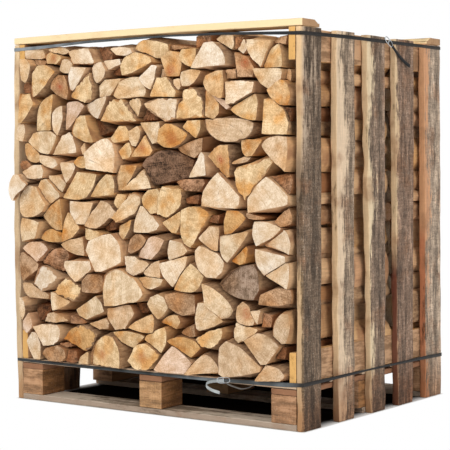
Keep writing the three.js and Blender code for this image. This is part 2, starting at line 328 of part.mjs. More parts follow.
function addPiece(name, geometry, material, x = 0, y = 0, z = 0) {
  const mesh = new THREE.Mesh(geometry, material);
  mesh.name = name;
  mesh.position.set(x, y, z);
  group.add(mesh);
  return mesh;
}

// A box given by its lowest corner and its size
function addBoard(name, material, [x, y, z], [length, depth, height]) {
  const geometry = new THREE.BoxGeometry(length, depth, height);
  return addPiece(name, geometry, material, x + length / 2, y + depth / 2, z + height / 2);
}

function shapeOf(points) {
  return new THREE.Shape(points.map(([across, up]) => new THREE.Vector2(across, up)));
}

function extrude(shape, depth) {
  return new THREE.ExtrudeGeometry(shape, { depth, bevelEnabled: false, curveSegments: 5 });
}

// An outline in x and z, carried back along +Y from y0
function extrudeBack(points, y0, depth) {
  return extrude(shapeOf(points), depth).rotateX(Math.PI / 2).translate(0, y0 + depth, 0);
}

// An outline in y and z, carried along +X from x0
function extrudeAlongLength(shape, x0, length) {
  const turned = new THREE.Matrix4().makeBasis(
    new THREE.Vector3(0, 1, 0), new THREE.Vector3(0, 0, 1), new THREE.Vector3(1, 0, 0));
  return extrude(shape, length).applyMatrix4(turned).translate(x0, 0, 0);
}

function toSolid(geometry) {
  const bare = geometry.clone();
  bare.deleteAttribute('normal');
  bare.deleteAttribute('uv');
  const merged = mergeVertices(bare);
  return new wasm.Manifold(new wasm.Mesh({
    numProp: 3,
    vertProperties: new Float32Array(merged.attributes.position.array),
    triVerts: new Uint32Array(merged.index.array),
  }));
}

function toGeometry(solid) {
  const mesh = solid.getMesh();
  const geometry = new THREE.BufferGeometry();
  geometry.setAttribute('position', new THREE.BufferAttribute(mesh.vertProperties, 3));
  geometry.setIndex(new THREE.BufferAttribute(mesh.triVerts, 1));
  geometry.computeVertexNormals();
  return geometry;
}

// Pallet: bottom boards, blocks, stringers and deck boards, from the ground up

function buildPallet() {
  const rows = [
    { name: 'front', y: -HALF_DEPTH, depth: BLOCK.depth },
    { name: 'middle', y: -BLOCK.middleDepth / 2, depth: BLOCK.middleDepth },
    { name: 'back', y: HALF_DEPTH - BLOCK.depth, depth: BLOCK.depth },
  ];
  const columns = [
    { name: 'left', x: -HALF_LENGTH },
    { name: 'centre', x: -BLOCK.width / 2 },
    { name: 'right', x: HALF_LENGTH - BLOCK.width },
  ];
  for (const row of rows) {
    const boardY = row.y + (row.depth - BOTTOM_BOARD.width) / 2;
    addBoard(`bottom_board_${row.name}`, woods.pallet, [-HALF_LENGTH, boardY, 0],
      [PALLET_LENGTH, BOTTOM_BOARD.width, BOTTOM_BOARD.thickness - CLEARANCE]);
    for (const column of columns) {
      addBoard(`block_${row.name}_${column.name}`, woods.pallet, [column.x, row.y, BLOCK_Z],
        [BLOCK.width, row.depth, BLOCK.height - CLEARANCE]);
    }
  }
  for (const column of columns) {
    addBoard(`stringer_${column.name}`, woods.pallet, [column.x, -HALF_DEPTH, STRINGER_Z],
      [BLOCK.width, PALLET_DEPTH, STRINGER_THICKNESS - CLEARANCE]);
  }
  const pitch = (PALLET_DEPTH - DECK_BOARD.width) / (DECK_BOARD.count - 1);
  for (let i = 0; i < DECK_BOARD.count; i += 1) {
    addBoard(`deck_board_${i + 1}`, woods.pallet, [-HALF_LENGTH, -HALF_DEPTH + i * pitch, DECK_Z],
      [PALLET_LENGTH, DECK_BOARD.width, DECK_BOARD.thickness - CLEARANCE]);
  }
}

// Side walls: five upright slats outside two rails, and a beam across the top at the front and back

function buildWall(side, sign) {
  const slatX = sign > 0 ? HALF_LENGTH + CLEARANCE : -WALL_OUTSIDE;
  SLATS.forEach(({ top, foot, short }, i) => {
    const height = SLAT_HEIGHT - short;
    const outline = shapeOf([
      [foot[0] - HALF_DEPTH, 0],
      [foot[1] - HALF_DEPTH, 0],
      [top[1] - HALF_DEPTH, height],
      [top[0] - HALF_DEPTH, height],
    ]);
    addPiece(`slat_${side}_${i + 1}`,
      extrudeAlongLength(outline, slatX, SLAT_THICKNESS - CLEARANCE), woods.slat);
  });
  const railX = sign > 0 ? HALF_LENGTH - RAIL.thickness : -HALF_LENGTH;
  addBoard(`rail_${side}_low`, woods.rail, [railX, -HALF_DEPTH, DECK_TOP],
    [RAIL.thickness, PALLET_DEPTH, RAIL.lowHeight]);
  // The top rail carries both beams, so its upper edge falls towards the back one
  const back = HALF_DEPTH - BACK_BEAM_SETBACK;
  const topRail = shapeOf([
    [-HALF_DEPTH, SLAT_HEIGHT - RAIL.topHeight],
    [back, SLAT_HEIGHT - RAIL.topHeight],
    [back, SLAT_HEIGHT - BACK_BEAM_DROP],
    [-HALF_DEPTH, SLAT_HEIGHT],
  ]);
  addPiece(`rail_${side}_top`, extrudeAlongLength(topRail, railX, RAIL.thickness), woods.rail);
}

// A beam is a flat sawn board whose inner top edge is the round of the tree it was cut from
function beamShape() {
  const shape = new THREE.Shape();
  shape.moveTo(0, 0);
  shape.lineTo(BEAM.depth, 0);
  shape.lineTo(BEAM.depth, BEAM.thickness / 4);
  shape.quadraticCurveTo(BEAM.depth - 4, BEAM.thickness, BEAM.depth - BEAM.wane, BEAM.thickness);
  shape.lineTo(0, BEAM.thickness);
  return shape;
}

function buildBeams() {
  const geometry = extrudeAlongLength(beamShape(), -WALL_OUTSIDE, 2 * WALL_OUTSIDE);
  addPiece('beam_front', geometry, woods.beam, 0, -HALF_DEPTH, BEAM_Z);
  const back = addPiece('beam_back', geometry.clone(), woods.beam,
    0, HALF_DEPTH - BACK_BEAM_SETBACK, BEAM_Z - BACK_BEAM_DROP);
  back.rotation.z = Math.PI;
}

// Straps: a band drawn tight around the corner slats, with a wire buckle closing it

function bandShape(front, back, grow) {
  const x = WALL_OUTSIDE + CLEARANCE + grow;
  return [
    [-x, front - CLEARANCE - grow],
    [x, front - CLEARANCE - grow],
    [x, back + CLEARANCE + grow],
    [-x, back + CLEARANCE + grow],
  ];
}

function addStrap(name, z, back) {
  const band = shapeOf(bandShape(-HALF_DEPTH, back, STRAP.thickness));
  band.holes.push(shapeOf(bandShape(-HALF_DEPTH, back, 0)));
  addPiece(name, extrude(band, STRAP.width), strapPlastic, 0, 0, z - STRAP.width / 2);
}

// A rounded loop of wire that lies flat against the strap, as a closed ring in x and z
function buckleGeometry() {
  const { length, height, wire } = BUCKLE;
  const ring = shapeOf(ringOutline(length, height));
  ring.holes.push(shapeOf(ringOutline(length - 2 * wire, height - 2 * wire)));
  return extrude(ring, wire).rotateX(Math.PI / 2);
}

function ringOutline(length, height) {
  const chamfer = height / 4;
  const [a, b] = [length / 2, height / 2];
  return [
    [-a + chamfer, -b], [a - chamfer, -b], [a, -b + chamfer], [a, b - chamfer],
    [a - chamfer, b], [-a + chamfer, b], [-a, b - chamfer], [-a, -b + chamfer],
  ];
}

function buildStraps() {
  addStrap('strap_low', STRAP.lowZ, HALF_DEPTH);
  addStrap('strap_top', STRAP.topZ, HALF_DEPTH - BACK_BEAM_SETBACK);
  const strapFace = STRAP.thickness + 2 * CLEARANCE;
  addPiece('buckle_low', buckleGeometry(), buckleSteel, LOW_BUCKLE.x, -HALF_DEPTH - strapFace, STRAP.lowZ)
    .rotation.y = LOW_BUCKLE.slope;
  addPiece('buckle_top', buckleGeometry(), buckleSteel, WALL_OUTSIDE + strapFace, TOP_BUCKLE.y, STRAP.topZ)
    .rotation.set(0, TOP_BUCKLE.slope, Math.PI / 2, 'ZXY');
}

// Log ends. Outlines are lists of [x, z] in millimetres, counter-clockwise, and all are convex.

function centroid(outline) {
  const sum = outline.reduce(([sx, sz], [x, z]) => [sx + x, sz + z], [0, 0]);
  return [sum[0] / outline.length, sum[1] / outline.length];
}

function area(outline) {
  return outline.reduce((sum, [x, z], i) => {
    const [nextX, nextZ] = outline[(i + 1) % outline.length];
    return sum + (x * nextZ - nextX * z) / 2;
  }, 0);
}

// How far the middle one of three points stands out to the right of the line between the others
function standsOut(from, middle, to) {
  const [dx, dz] = [to[0] - from[0], to[1] - from[1]];
  return (dx * (from[1] - middle[1]) - dz * (from[0] - middle[0])) / (Math.hypot(dx, dz) || 1);
}

function convexHull(points) {
  const sorted = [...points].sort((a, b) => a[0] - b[0] || a[1] - b[1]);
  const half = (list) => {
    const chain = [];
    for (const point of list) {
      while (chain.length > 1 && standsOut(chain.at(-2), chain.at(-1), point) <= 0) chain.pop();
      chain.push(point);
    }
    return chain.slice(0, -1);
  };
  return [...half(sorted), ...half(sorted.reverse())];
}

// Leaves out the corners that hardly bend their outline
function withoutFlatCorners(outline) {
  const kept = [...outline];
  for (let i = kept.length - 1; i >= 0 && kept.length > 3; i -= 1) {
    const from = kept.at(i - 1);
    const to = kept[(i + 1) % kept.length];
    if (standsOut(from, kept[i], to) < STRAIGHT) kept.splice(i, 1);
  }
  return kept;
}

// Keeps the part of an outline where the distance along the normal is at most the limit
function clip(outline, [nx, nz], limit) {
  const kept = [];
  outline.forEach((point, i) => {
    const next = outline[(i + 1) % outline.length];
    const here = point[0] * nx + point[1] * nz - limit;
    const there = next[0] * nx + next[1] * nz - limit;
    if (here <= 0) kept.push(point);
    if (here * there < 0) {
      const t = here / (here - there);
      kept.push([point[0] + (next[0] - point[0]) * t, point[1] + (next[1] - point[1]) * t]);
    }
  });
  return kept;
}

// The points where the edges of two outlines cross
function crossings(a, b) {
  const found = [];
  a.forEach((p, i) => {
    const q = a[(i + 1) % a.length];
    b.forEach((r, j) => {
      const s = b[(j + 1) % b.length];
      const [dx, dz, ex, ez] = [q[0] - p[0], q[1] - p[1], s[0] - r[0], s[1] - r[1]];
      const bottom = dx * ez - dz * ex;
      if (Math.abs(bottom) < 1e-9) return;
      const t = ((r[0] - p[0]) * ez - (r[1] - p[1]) * ex) / bottom;
      const u = ((r[0] - p[0]) * dz - (r[1] - p[1]) * dx) / bottom;
      if (t >= 0 && t <= 1 && u >= 0 && u <= 1) found.push([p[0] + dx * t, p[1] + dz * t]);
    });
  });
  return found;
}

// Draws every corner in towards the middle, so that logs laid corner to corner don't touch
function drawIn(outline, by) {
  const [mx, mz] = centroid(outline);
  return outline.map(([x, z]) => {
    const share = 1 - by / Math.hypot(x - mx, z - mz);
    return [mx + (x - mx) * share, mz + (z - mz) * share];
  });
}

// Splits the overlap of two logs along the line through the points where their outlines cross
function partTwo(logs, i, j) {
  const points = crossings(logs[i].outline, logs[j].outline);
  if (points.length < 2) return;
  const [first] = points;
  const distance = (point) => Math.hypot(point[0] - first[0], point[1] - first[1]);
  const far = points.reduce((best, point) => (distance(point) > distance(best) ? point : best));
  const reach = distance(far);
  if (reach < 1) return;
  let normal = [(far[1] - first[1]) / reach, -(far[0] - first[0]) / reach];
  const along = (point) => point[0] * normal[0] + point[1] * normal[1];
  if (along(centroid(logs[i].outline)) > along(centroid(logs[j].outline))) normal = [-normal[0], -normal[1]];
  const limit = along(first);
  logs[i].outline = clip(logs[i].outline, normal, limit - SPLIT_GAP / 2);
  logs[j].outline = clip(logs[j].outline, [-normal[0], -normal[1]], -limit - SPLIT_GAP / 2);
}

// The space between the walls where logs fit: clear of the deck, the slats, the rails and the strap
function fitBetweenWalls(outline, proud) {
  const highest = Math.max(...outline.map(([, z]) => z));
  const [, middleZ] = centroid(outline);
  const besideRail = middleZ < DECK_TOP + RAIL.lowHeight || middleZ > SLAT_HEIGHT - RAIL.topHeight
    || highest > SLAT_HEIGHT - RAIL.topHeight + CM;
  const inset = CLEARANCE + END_INSET + (besideRail ? RAIL.thickness : 0);
  const top = proud < 0 ? STACK_TOP_BEHIND_STRAP : STACK_TOP;
  let fitted = clip(outline, [1, 0], HALF_LENGTH - inset);
  fitted = clip(fitted, [-1, 0], HALF_LENGTH - inset);
  fitted = clip(fitted, [0, -1], -(DECK_TOP + CLEARANCE + END_INSET));
  return clip(fitted, [0, 1], top);
}

function layOutLogs() {
  const logs = LOGS.map(([proudCm, ...corners]) => {
    const proud = proudCm * CM;
    const placed = corners.map(([x, z]) => [
      x * CM - HALF_LENGTH + SIGHT * proud, z * CM + LOG_LEVEL]);
    return { proud, outline: fitBetweenWalls(convexHull(placed), proud) };
  });
  for (let i = 0; i < logs.length; i += 1) {
    for (let j = i + 1; j < logs.length; j += 1) partTwo(logs, i, j);
  }
  return logs
    .map((log) => ({ ...log, outline: drawIn(withoutFlatCorners(log.outline), CORNER_GAP) }))
    .filter((log) => log.outline.length > 2 && area(log.outline) > SMALLEST_END);
}

// How high the stack reaches at one place along its length
function stackHeight(logs, x) {
  let highest = DECK_TOP;
  for (const { outline } of logs) {
    const spot = clip(clip(outline, [1, 0], x + 1), [-1, 0], 1 - x);
    highest = Math.max(highest, ...spot.map(([, z]) => z));
  }
  return highest;
}

// The outline of a whole row, seen from the front: straight sides that step in beside the rails,
// and an uneven top that follows the highest logs
function stackOutline(logs) {
  const side = HALF_LENGTH - CLEARANCE;
  const inner = side - RAIL.thickness;
  const foot = DECK_TOP + CLEARANCE;
  const lowRail = DECK_TOP + RAIL.lowHeight + CLEARANCE;
  const topRail = SLAT_HEIGHT - RAIL.topHeight - CLEARANCE;
  const brow = [];
  for (let i = 0; i <= BROW_STEPS; i += 1) {
    const x = inner * (1 - (2 * i) / BROW_STEPS);
    brow.push([x, stackHeight(logs, x) - BROW_SINK]);
  }
  return [
    [-inner, foot], [inner, foot], [inner, lowRail], [side, lowRail], [side, topRail], [inner, topRail],
    ...brow,
    [-inner, topRail], [-side, topRail], [-side, lowRail], [-inner, lowRail],
  ];
}

// One row of logs: their ends stand out of the stack, each by its own amount
function rowOfEnds(logs, stack) {
  const face = -HALF_DEPTH;
  const relief = face + RELIEF_DEPTH;
  let row = toSolid(extrudeBack(stack, relief, LOG_LENGTH - RELIEF_DEPTH));
  for (const { proud, outline } of logs) {
    const end = extrudeBack(outline, face - proud, RELIEF_DEPTH + proud + 1);
    row = row.add(toSolid(end));
  }
  return toGeometry(row);
}

// The same stack as its mirror image, and no higher than the strap that crosses it
function mirrorStack(logs) {
  return logs
    .map(({ proud, outline }) => ({
      proud,
      outline: clip(outline.map(([x, z]) => [-x, z]).reverse(), [0, 1], STACK_TOP),
    }))
    .filter(({ outline }) => outline.length > 2 && area(outline) > SMALLEST_END);
}

function buildLogs() {
  const logs = layOutLogs();
  addPiece('logs_front_row', rowOfEnds(logs, stackOutline(logs)), woods.logs);
  const mirrored = mirrorStack(logs);
  const stack = stackOutline(mirrored);
  addPiece('logs_middle_row', extrudeBack(stack, -LOG_LENGTH / 2, LOG_LENGTH), woods.logs);
  const back = addPiece('logs_back_row', rowOfEnds(mirrored, stack), woods.logs);
  back.rotation.z = Math.PI;
}

buildPallet();
buildWall('left', -1);
buildWall('right', 1);
buildBeams();
buildStraps();
buildLogs();

export default group;
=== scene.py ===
"""Looks of a pallet of split firewood: logs, pallet, slatted walls, beams and straps, in metres, +Z up.

The open front with the log ends faces -Y and the slatted walls stand at -X and +X. Every new piece is
a tube: rings of points carried along a length, whose ends close on a pole or on each other.
"""
import functools
import itertools
import math

import bmesh
import bpy
import numpy as np
from mathutils import Matrix, Vector


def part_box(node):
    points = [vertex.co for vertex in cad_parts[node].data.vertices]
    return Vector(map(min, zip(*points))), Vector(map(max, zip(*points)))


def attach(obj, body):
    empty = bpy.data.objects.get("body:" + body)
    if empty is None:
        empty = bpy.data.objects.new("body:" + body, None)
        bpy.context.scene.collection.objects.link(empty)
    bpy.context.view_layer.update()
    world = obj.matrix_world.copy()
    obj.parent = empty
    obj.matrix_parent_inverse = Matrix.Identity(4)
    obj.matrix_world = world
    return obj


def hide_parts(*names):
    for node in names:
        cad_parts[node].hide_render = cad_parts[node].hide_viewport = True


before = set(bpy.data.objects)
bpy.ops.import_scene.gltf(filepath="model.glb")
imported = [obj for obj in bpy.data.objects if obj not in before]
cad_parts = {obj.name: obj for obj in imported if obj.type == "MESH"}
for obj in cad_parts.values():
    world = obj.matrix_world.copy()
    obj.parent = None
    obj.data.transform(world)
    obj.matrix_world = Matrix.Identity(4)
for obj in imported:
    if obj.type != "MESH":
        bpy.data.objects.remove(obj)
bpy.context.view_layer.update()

MM = 0.001
CM = 0.01
X_AND_Z = [0, 2]
rng = np.random.default_rng(26)

# Places that the frame gives
PALLET_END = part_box("deck_board_1")[1].x
PALLET_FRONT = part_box("deck_board_1")[0].y
# The level that the log ends' places below are counted from
LOG_LEVEL = 136 * MM

# How far the rows' faces lie behind the log ends that stand out of them, and the most corners of an end
RELIEF_DEPTH = 55 * MM
MOST_CORNERS = 12

# How finely a log is drawn: points round it, how far its rings lie behind the seen end, and how far
# out the rings on that end lie, as shares of the way from its middle to its edge
POINTS_ROUND = 38
RINGS_BEHIND = np.array([0.0, 1.0, 5, 13, 28, 55, 100, 170, 258]) * MM
RINGS_ON_END = np.array([0.3, 0.62, 0.93])
SOFT_CORNER = math.radians(36)
EDGE_ROUNDING = 0.7 * MM
# How logs rest on each other: how far they may swell at the seen end, and spread in all from so far
# behind it, how much room a free side has, and how near to a wall they draw back from it
MOST_SWELL = 2.5 * MM
MOST_SPREAD = 14 * MM
SETTLED_BY = 45 * MM
FREE_SIDE = 60 * MM
BESIDE_WALL = 30 * MM

# Wood tones, each with its shares of sap and of mottling. The tan, russet, shade and dark tones are
# partly the wood's own and partly painted shade, given to ends that lie back in shadow
TONES = {
    "white": ("#E9DAC7", 0.1, 0.6),
    "pale": ("#E4D1B9", 0.3, 0.7),
    "cream": ("#DCC6A8", 0.45, 0.9),
    "pink": ("#DCC2AD", 0.15, 0.8),
    "honey": ("#DDC29A", 0.8, 1.0),
    "orange": ("#D5B388", 1.0, 1.1),
    "amber": ("#C79F6C", 1.0, 1.1),
    "biscuit": ("#CFB597", 0.4, 1.0),
    "tan": ("#B89778", 0.5, 1.8),
    "russet": ("#A78164", 0.6, 2.6),
    "shade": ("#8C6448", 0.5, 3.0),
    "dark": ("#7A553A", 0.4, 3.2),
    "grey": ("#97816F", 0.2, 2.4),
    "bark": ("#795D49", 0.3, 3.4),
}
USUAL_TONES = ["cream", "pale", "cream", "pink", "honey", "pale", "cream"]
# The seen ends that have a tone of their own: x and z in centimetres, from the left-hand slats and
# LOG_LEVEL as they look from the camera, which sees an end that stands out SEEN_LEFT times as far to
# the left. An end belongs to a place within NEAR_ENOUGH. Other ends draw one of the usual tones.
SEEN_LEFT = 0.7
NEAR_ENOUGH = 3.0
TONE_PLACES = {
    "bark": [(57, 58)],
    "dark": [(98, 72), (48, 17), (96, 7), (36, 40), (38, 85), (8, 13), (32, 69)],
    "shade": [(66, 48), (21, 1), (50, 72), (73, 43), (3, 82), (34, 91)],
    "russet": [(82, 91), (97, 53), (23, 12), (18, 4), (70, 92), (2, 58), (15, 30), (91, 16), (65.5, 52.6)],
    "grey": [(83, 26)],
    "tan": [(86, 44), (61, 91), (61, 19), (64, 11), (65, 63), (16, 82), (97, 44), (8.4, 89), (45, 36),
            (94, 22), (28, 23), (84, 85), (79, 83), (14, 2), (2, 27), (96, 91)],
    "biscuit": [(69, 2), (32, 11), (31, 43), (5, 20), (21, 34), (72, 38), (13, 12), (83, 59), (98, 82),
                (51, 28), (93, 62), (79, 67), (89, 8), (39, 14), (79.7, 4.2), (92, 1.4), (95.3, 13.8),
                (56, 84), (83, 16.5)],
    "amber": [(79, 42), (62.7, 7.5), (13, 37), (82.5, 33), (25, 7), (58, 66)],
    "orange": [(84, 62), (4, 62), (13, 42), (41, 54), (48, 12), (59, 14), (48, 62), (76, 60), (59, 87),
               (20, 40), (73, 74), (73, 80.6), (95, 77)],
    "honey": [(24, 69), (64, 88), (85, 54), (25, 59), (52, 91), (65, 42), (59, 41), (34, 4), (94, 87),
              (47, 4), (40, 67), (2, 75), (45, 87), (19, 21), (42, 62), (9.6, 73.3), (42, 8), (26, 80),
              (28, 37), (53, 8), (51, 48), (66, 69), (41, 39), (25, 51), (9, 84), (34, 52), (30, 65),
              (13.7, 90.2), (94, 70.7), (64.8, 75.3), (39.2, 47.5), (71.6, 9.7), (84.2, 73.3), (64.8, 26)],
    "cream": [(64.5, 82.5), (70, 15), (15, 17), (25, 0), (52, 67.4), (45, 66), (39.2, 22.4)],
    "pink": [(50.7, 34.4), (57.7, 2.4)],
    "pale": [(60, 81), (5, 3.5), (45, 29), (6, 56), (6, 92), (0.5, 68), (25.4, 62.6), (33.3, 61.7),
             (90.6, 50), (75.9, 49.3), (81.4, 78), (22, 27.3), (15.5, 71.6), (33.5, 33.2), (59.8, 34),
             (71, 30.7), (54.5, 74.2), (19, 65), (19.4, 56.3), (96.7, 37.5)],
    "white": [(30.9, 75.2), (37, 87), (83, 90), (10, 24), (22, 84), (41, 91), (68, 58), (32, 85), (50, 83),
              (0, 52), (91, 32), (90, 40), (73, 88)],
}
# Where hearts are stained, in the same centimetres
STAINED_HEARTS = [(14, 90), (16.5, 81.5), (48, 63), (58.2, 65.6), (32, 3), (47.5, 3), (83.5, 17),
                  (58.4, 84.7), (75.5, 59.5), (84.4, 85.5)]
# Ends whose fibres tore out in teeth along the edge
TORN_ENDS = [(25.6, 77.9), (38.9, 73.4), (52.5, 73.1), (19, 20.9), (23.6, 7.4), (66, 75), (12, 24), (83, 54)]
# The log whose end stands out further than its row and reaches past the wall: where it is seen, how
# far its end is moved out and to the left, in millimetres, and how many times as wide and tall it gets
PAST_WALL = {"seen": (0, 52.5), "out": 22, "left": 33, "wider": 2.4, "taller": 1.38}


def hex_colour(code):
    """An sRGB hex colour as linear red, green, blue and an alpha of 1."""
    channels = [int(code[i:i + 2], 16) / 255 for i in (1, 3, 5)]
    return [c / 12.92 if c <= 0.04045 else ((c + 0.055) / 1.055) ** 2.4 for c in channels] + [1.0]


# Noise and meshes

# Large primes that mix a cell's three indices and the seed
CELL_PRIMES = np.array([73856093, 19349663, 83492791])
SEED_PRIME = 15485863
LAST_PRIME = 1274126177


def lattice_value(cells, seed):
    """A fixed value from -1 to 1 for every whole-number cell: its indices times large primes, mixed by
    exclusive or with shifted copies of themselves, and the last 16 bits of that as a share."""
    mixed = np.bitwise_xor.reduce(cells.astype(np.int64) * CELL_PRIMES, axis=-1) ^ (seed * SEED_PRIME)
    mixed = ((mixed ^ (mixed >> 13)) * LAST_PRIME) & 0xFFFFFFFF
    mixed = mixed ^ (mixed >> 16)
    return (mixed % 65536) / 32767.5 - 1


def drift(points, cell, seed=0):
    """Smooth noise from -1 to 1: lattice values one cell apart, blended by 3t^2 - 2t^3 on each axis."""
    scaled = np.asarray(points, float) / cell
    base = np.floor(scaled)
    part = scaled - base
    part = part * part * (3 - 2 * part)
    total = np.zeros(scaled.shape[:-1])
    for corner in itertools.product((0, 1), repeat=3):
        weight = np.where(corner, part, 1 - part).prod(axis=-1)
        total += weight * lattice_value(base + corner, seed)
    return total


def tube(grids, poles=None):
    """Vertices and faces of tubes. grids holds tubes x rings x points round x 3. With poles, tubes x 2
    x 3, a fan closes each end, and without them the last ring joins the first."""
    count, rings, around, _ = grids.shape
    here = np.arange(rings * around).reshape(rings, around)
    ahead = np.roll(here, -1, axis=0)
    if poles is not None:
        here, ahead = here[:-1], ahead[:-1]
    quads = np.stack([here, ahead, np.roll(ahead, -1, axis=1), np.roll(here, -1, axis=1)], -1).reshape(-1, 4)
    vertices = grids.reshape(count, -1, 3)
    fans = np.zeros((0, 3), int)
    if poles is not None:
        first = np.arange(around)
        last = first + (rings - 1) * around
        first_pole = np.full(around, rings * around)
        fans = np.concatenate([
            np.stack([first_pole, first, np.roll(first, -1)], -1),
            np.stack([first_pole + 1, np.roll(last, -1), last], -1)])
        vertices = np.concatenate([vertices, poles], axis=1)
    offsets = vertices.shape[1] * np.arange(count)[:, None, None]
    faces = [*(quads + offsets).reshape(-1, 4).tolist(), *(fans + offsets).reshape(-1, 3).tolist()]
    return vertices.reshape(-1, 3), faces


def per_vertex(grid_values, pole_values):
    """Puts values in the order of closed tubes' vertices: each tube's rings first, then its poles."""
    count, rings, around = grid_values.shape[:3]
    in_rings = grid_values.reshape(count, rings * around, -1)
    at_poles = pole_values.reshape(count, 2, -1)
    return np.concatenate([in_rings, at_poles], axis=1).reshape(-1, in_rings.shape[-1])


def add_piece(name, mesh_data, materials, replaces, sharp, attributes=None):
    """Makes an object of tubes, facing outwards, and hands it to the frame. Edges of more than sharp
    degrees stay crisp. attributes gives each one's kind and its values in the order of the vertices."""
    vertices, faces = mesh_data
    mesh = bpy.data.meshes.new(name)
    mesh.from_pydata(vertices.tolist(), [], faces)
    solid = bmesh.new()
    solid.from_mesh(mesh)
    if solid.calc_volume(signed=True) < 0:
        mesh.flip_normals()
    solid.free()
    for label, (kind, values) in (attributes or {}).items():
        attribute = mesh.attributes.new(label, kind, "POINT")
        field = {"FLOAT": "value", "FLOAT_VECTOR": "vector", "FLOAT_COLOR": "color"}[kind]
        attribute.data.foreach_set(field, np.ascontiguousarray(values, np.float32).ravel())
    for material in materials:
        mesh.materials.append(material)
    mesh.polygons.foreach_set("use_smooth", np.ones(len(faces), bool))
    mesh.set_sharp_from_angle(angle=math.radians(sharp))
    piece = bpy.data.objects.new(name, mesh)
    bpy.context.scene.collection.objects.link(piece)
    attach(piece, "root")
    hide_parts(*replaces)
    return piece


# Materials

def add_node(tree, kind, inputs=(), **settings):
    """Adds a shader node with its settings. Its inputs are given in order, or by name or number. Each is
    a value, a socket, or a node whose first usable output feeds it."""
    made = tree.nodes.new("ShaderNode" + kind)
    for name, value in settings.items():
        setattr(made, name, value)
    for key, value in (inputs.items() if isinstance(inputs, dict) else enumerate(inputs)):
        if isinstance(value, bpy.types.Node):
            value = next(output for output in value.outputs if output.enabled)
        if isinstance(value, bpy.types.NodeSocket):
            tree.links.new(value, made.inputs[key])
        else:
            made.inputs[key].default_value = value
    return made


def new_material(name):
    """An empty material, and add_node for its tree."""
    material = bpy.data.materials.new(name)
    material.use_nodes = True
    material.node_tree.nodes.clear()
    return material, functools.partial(add_node, material.node_tree)


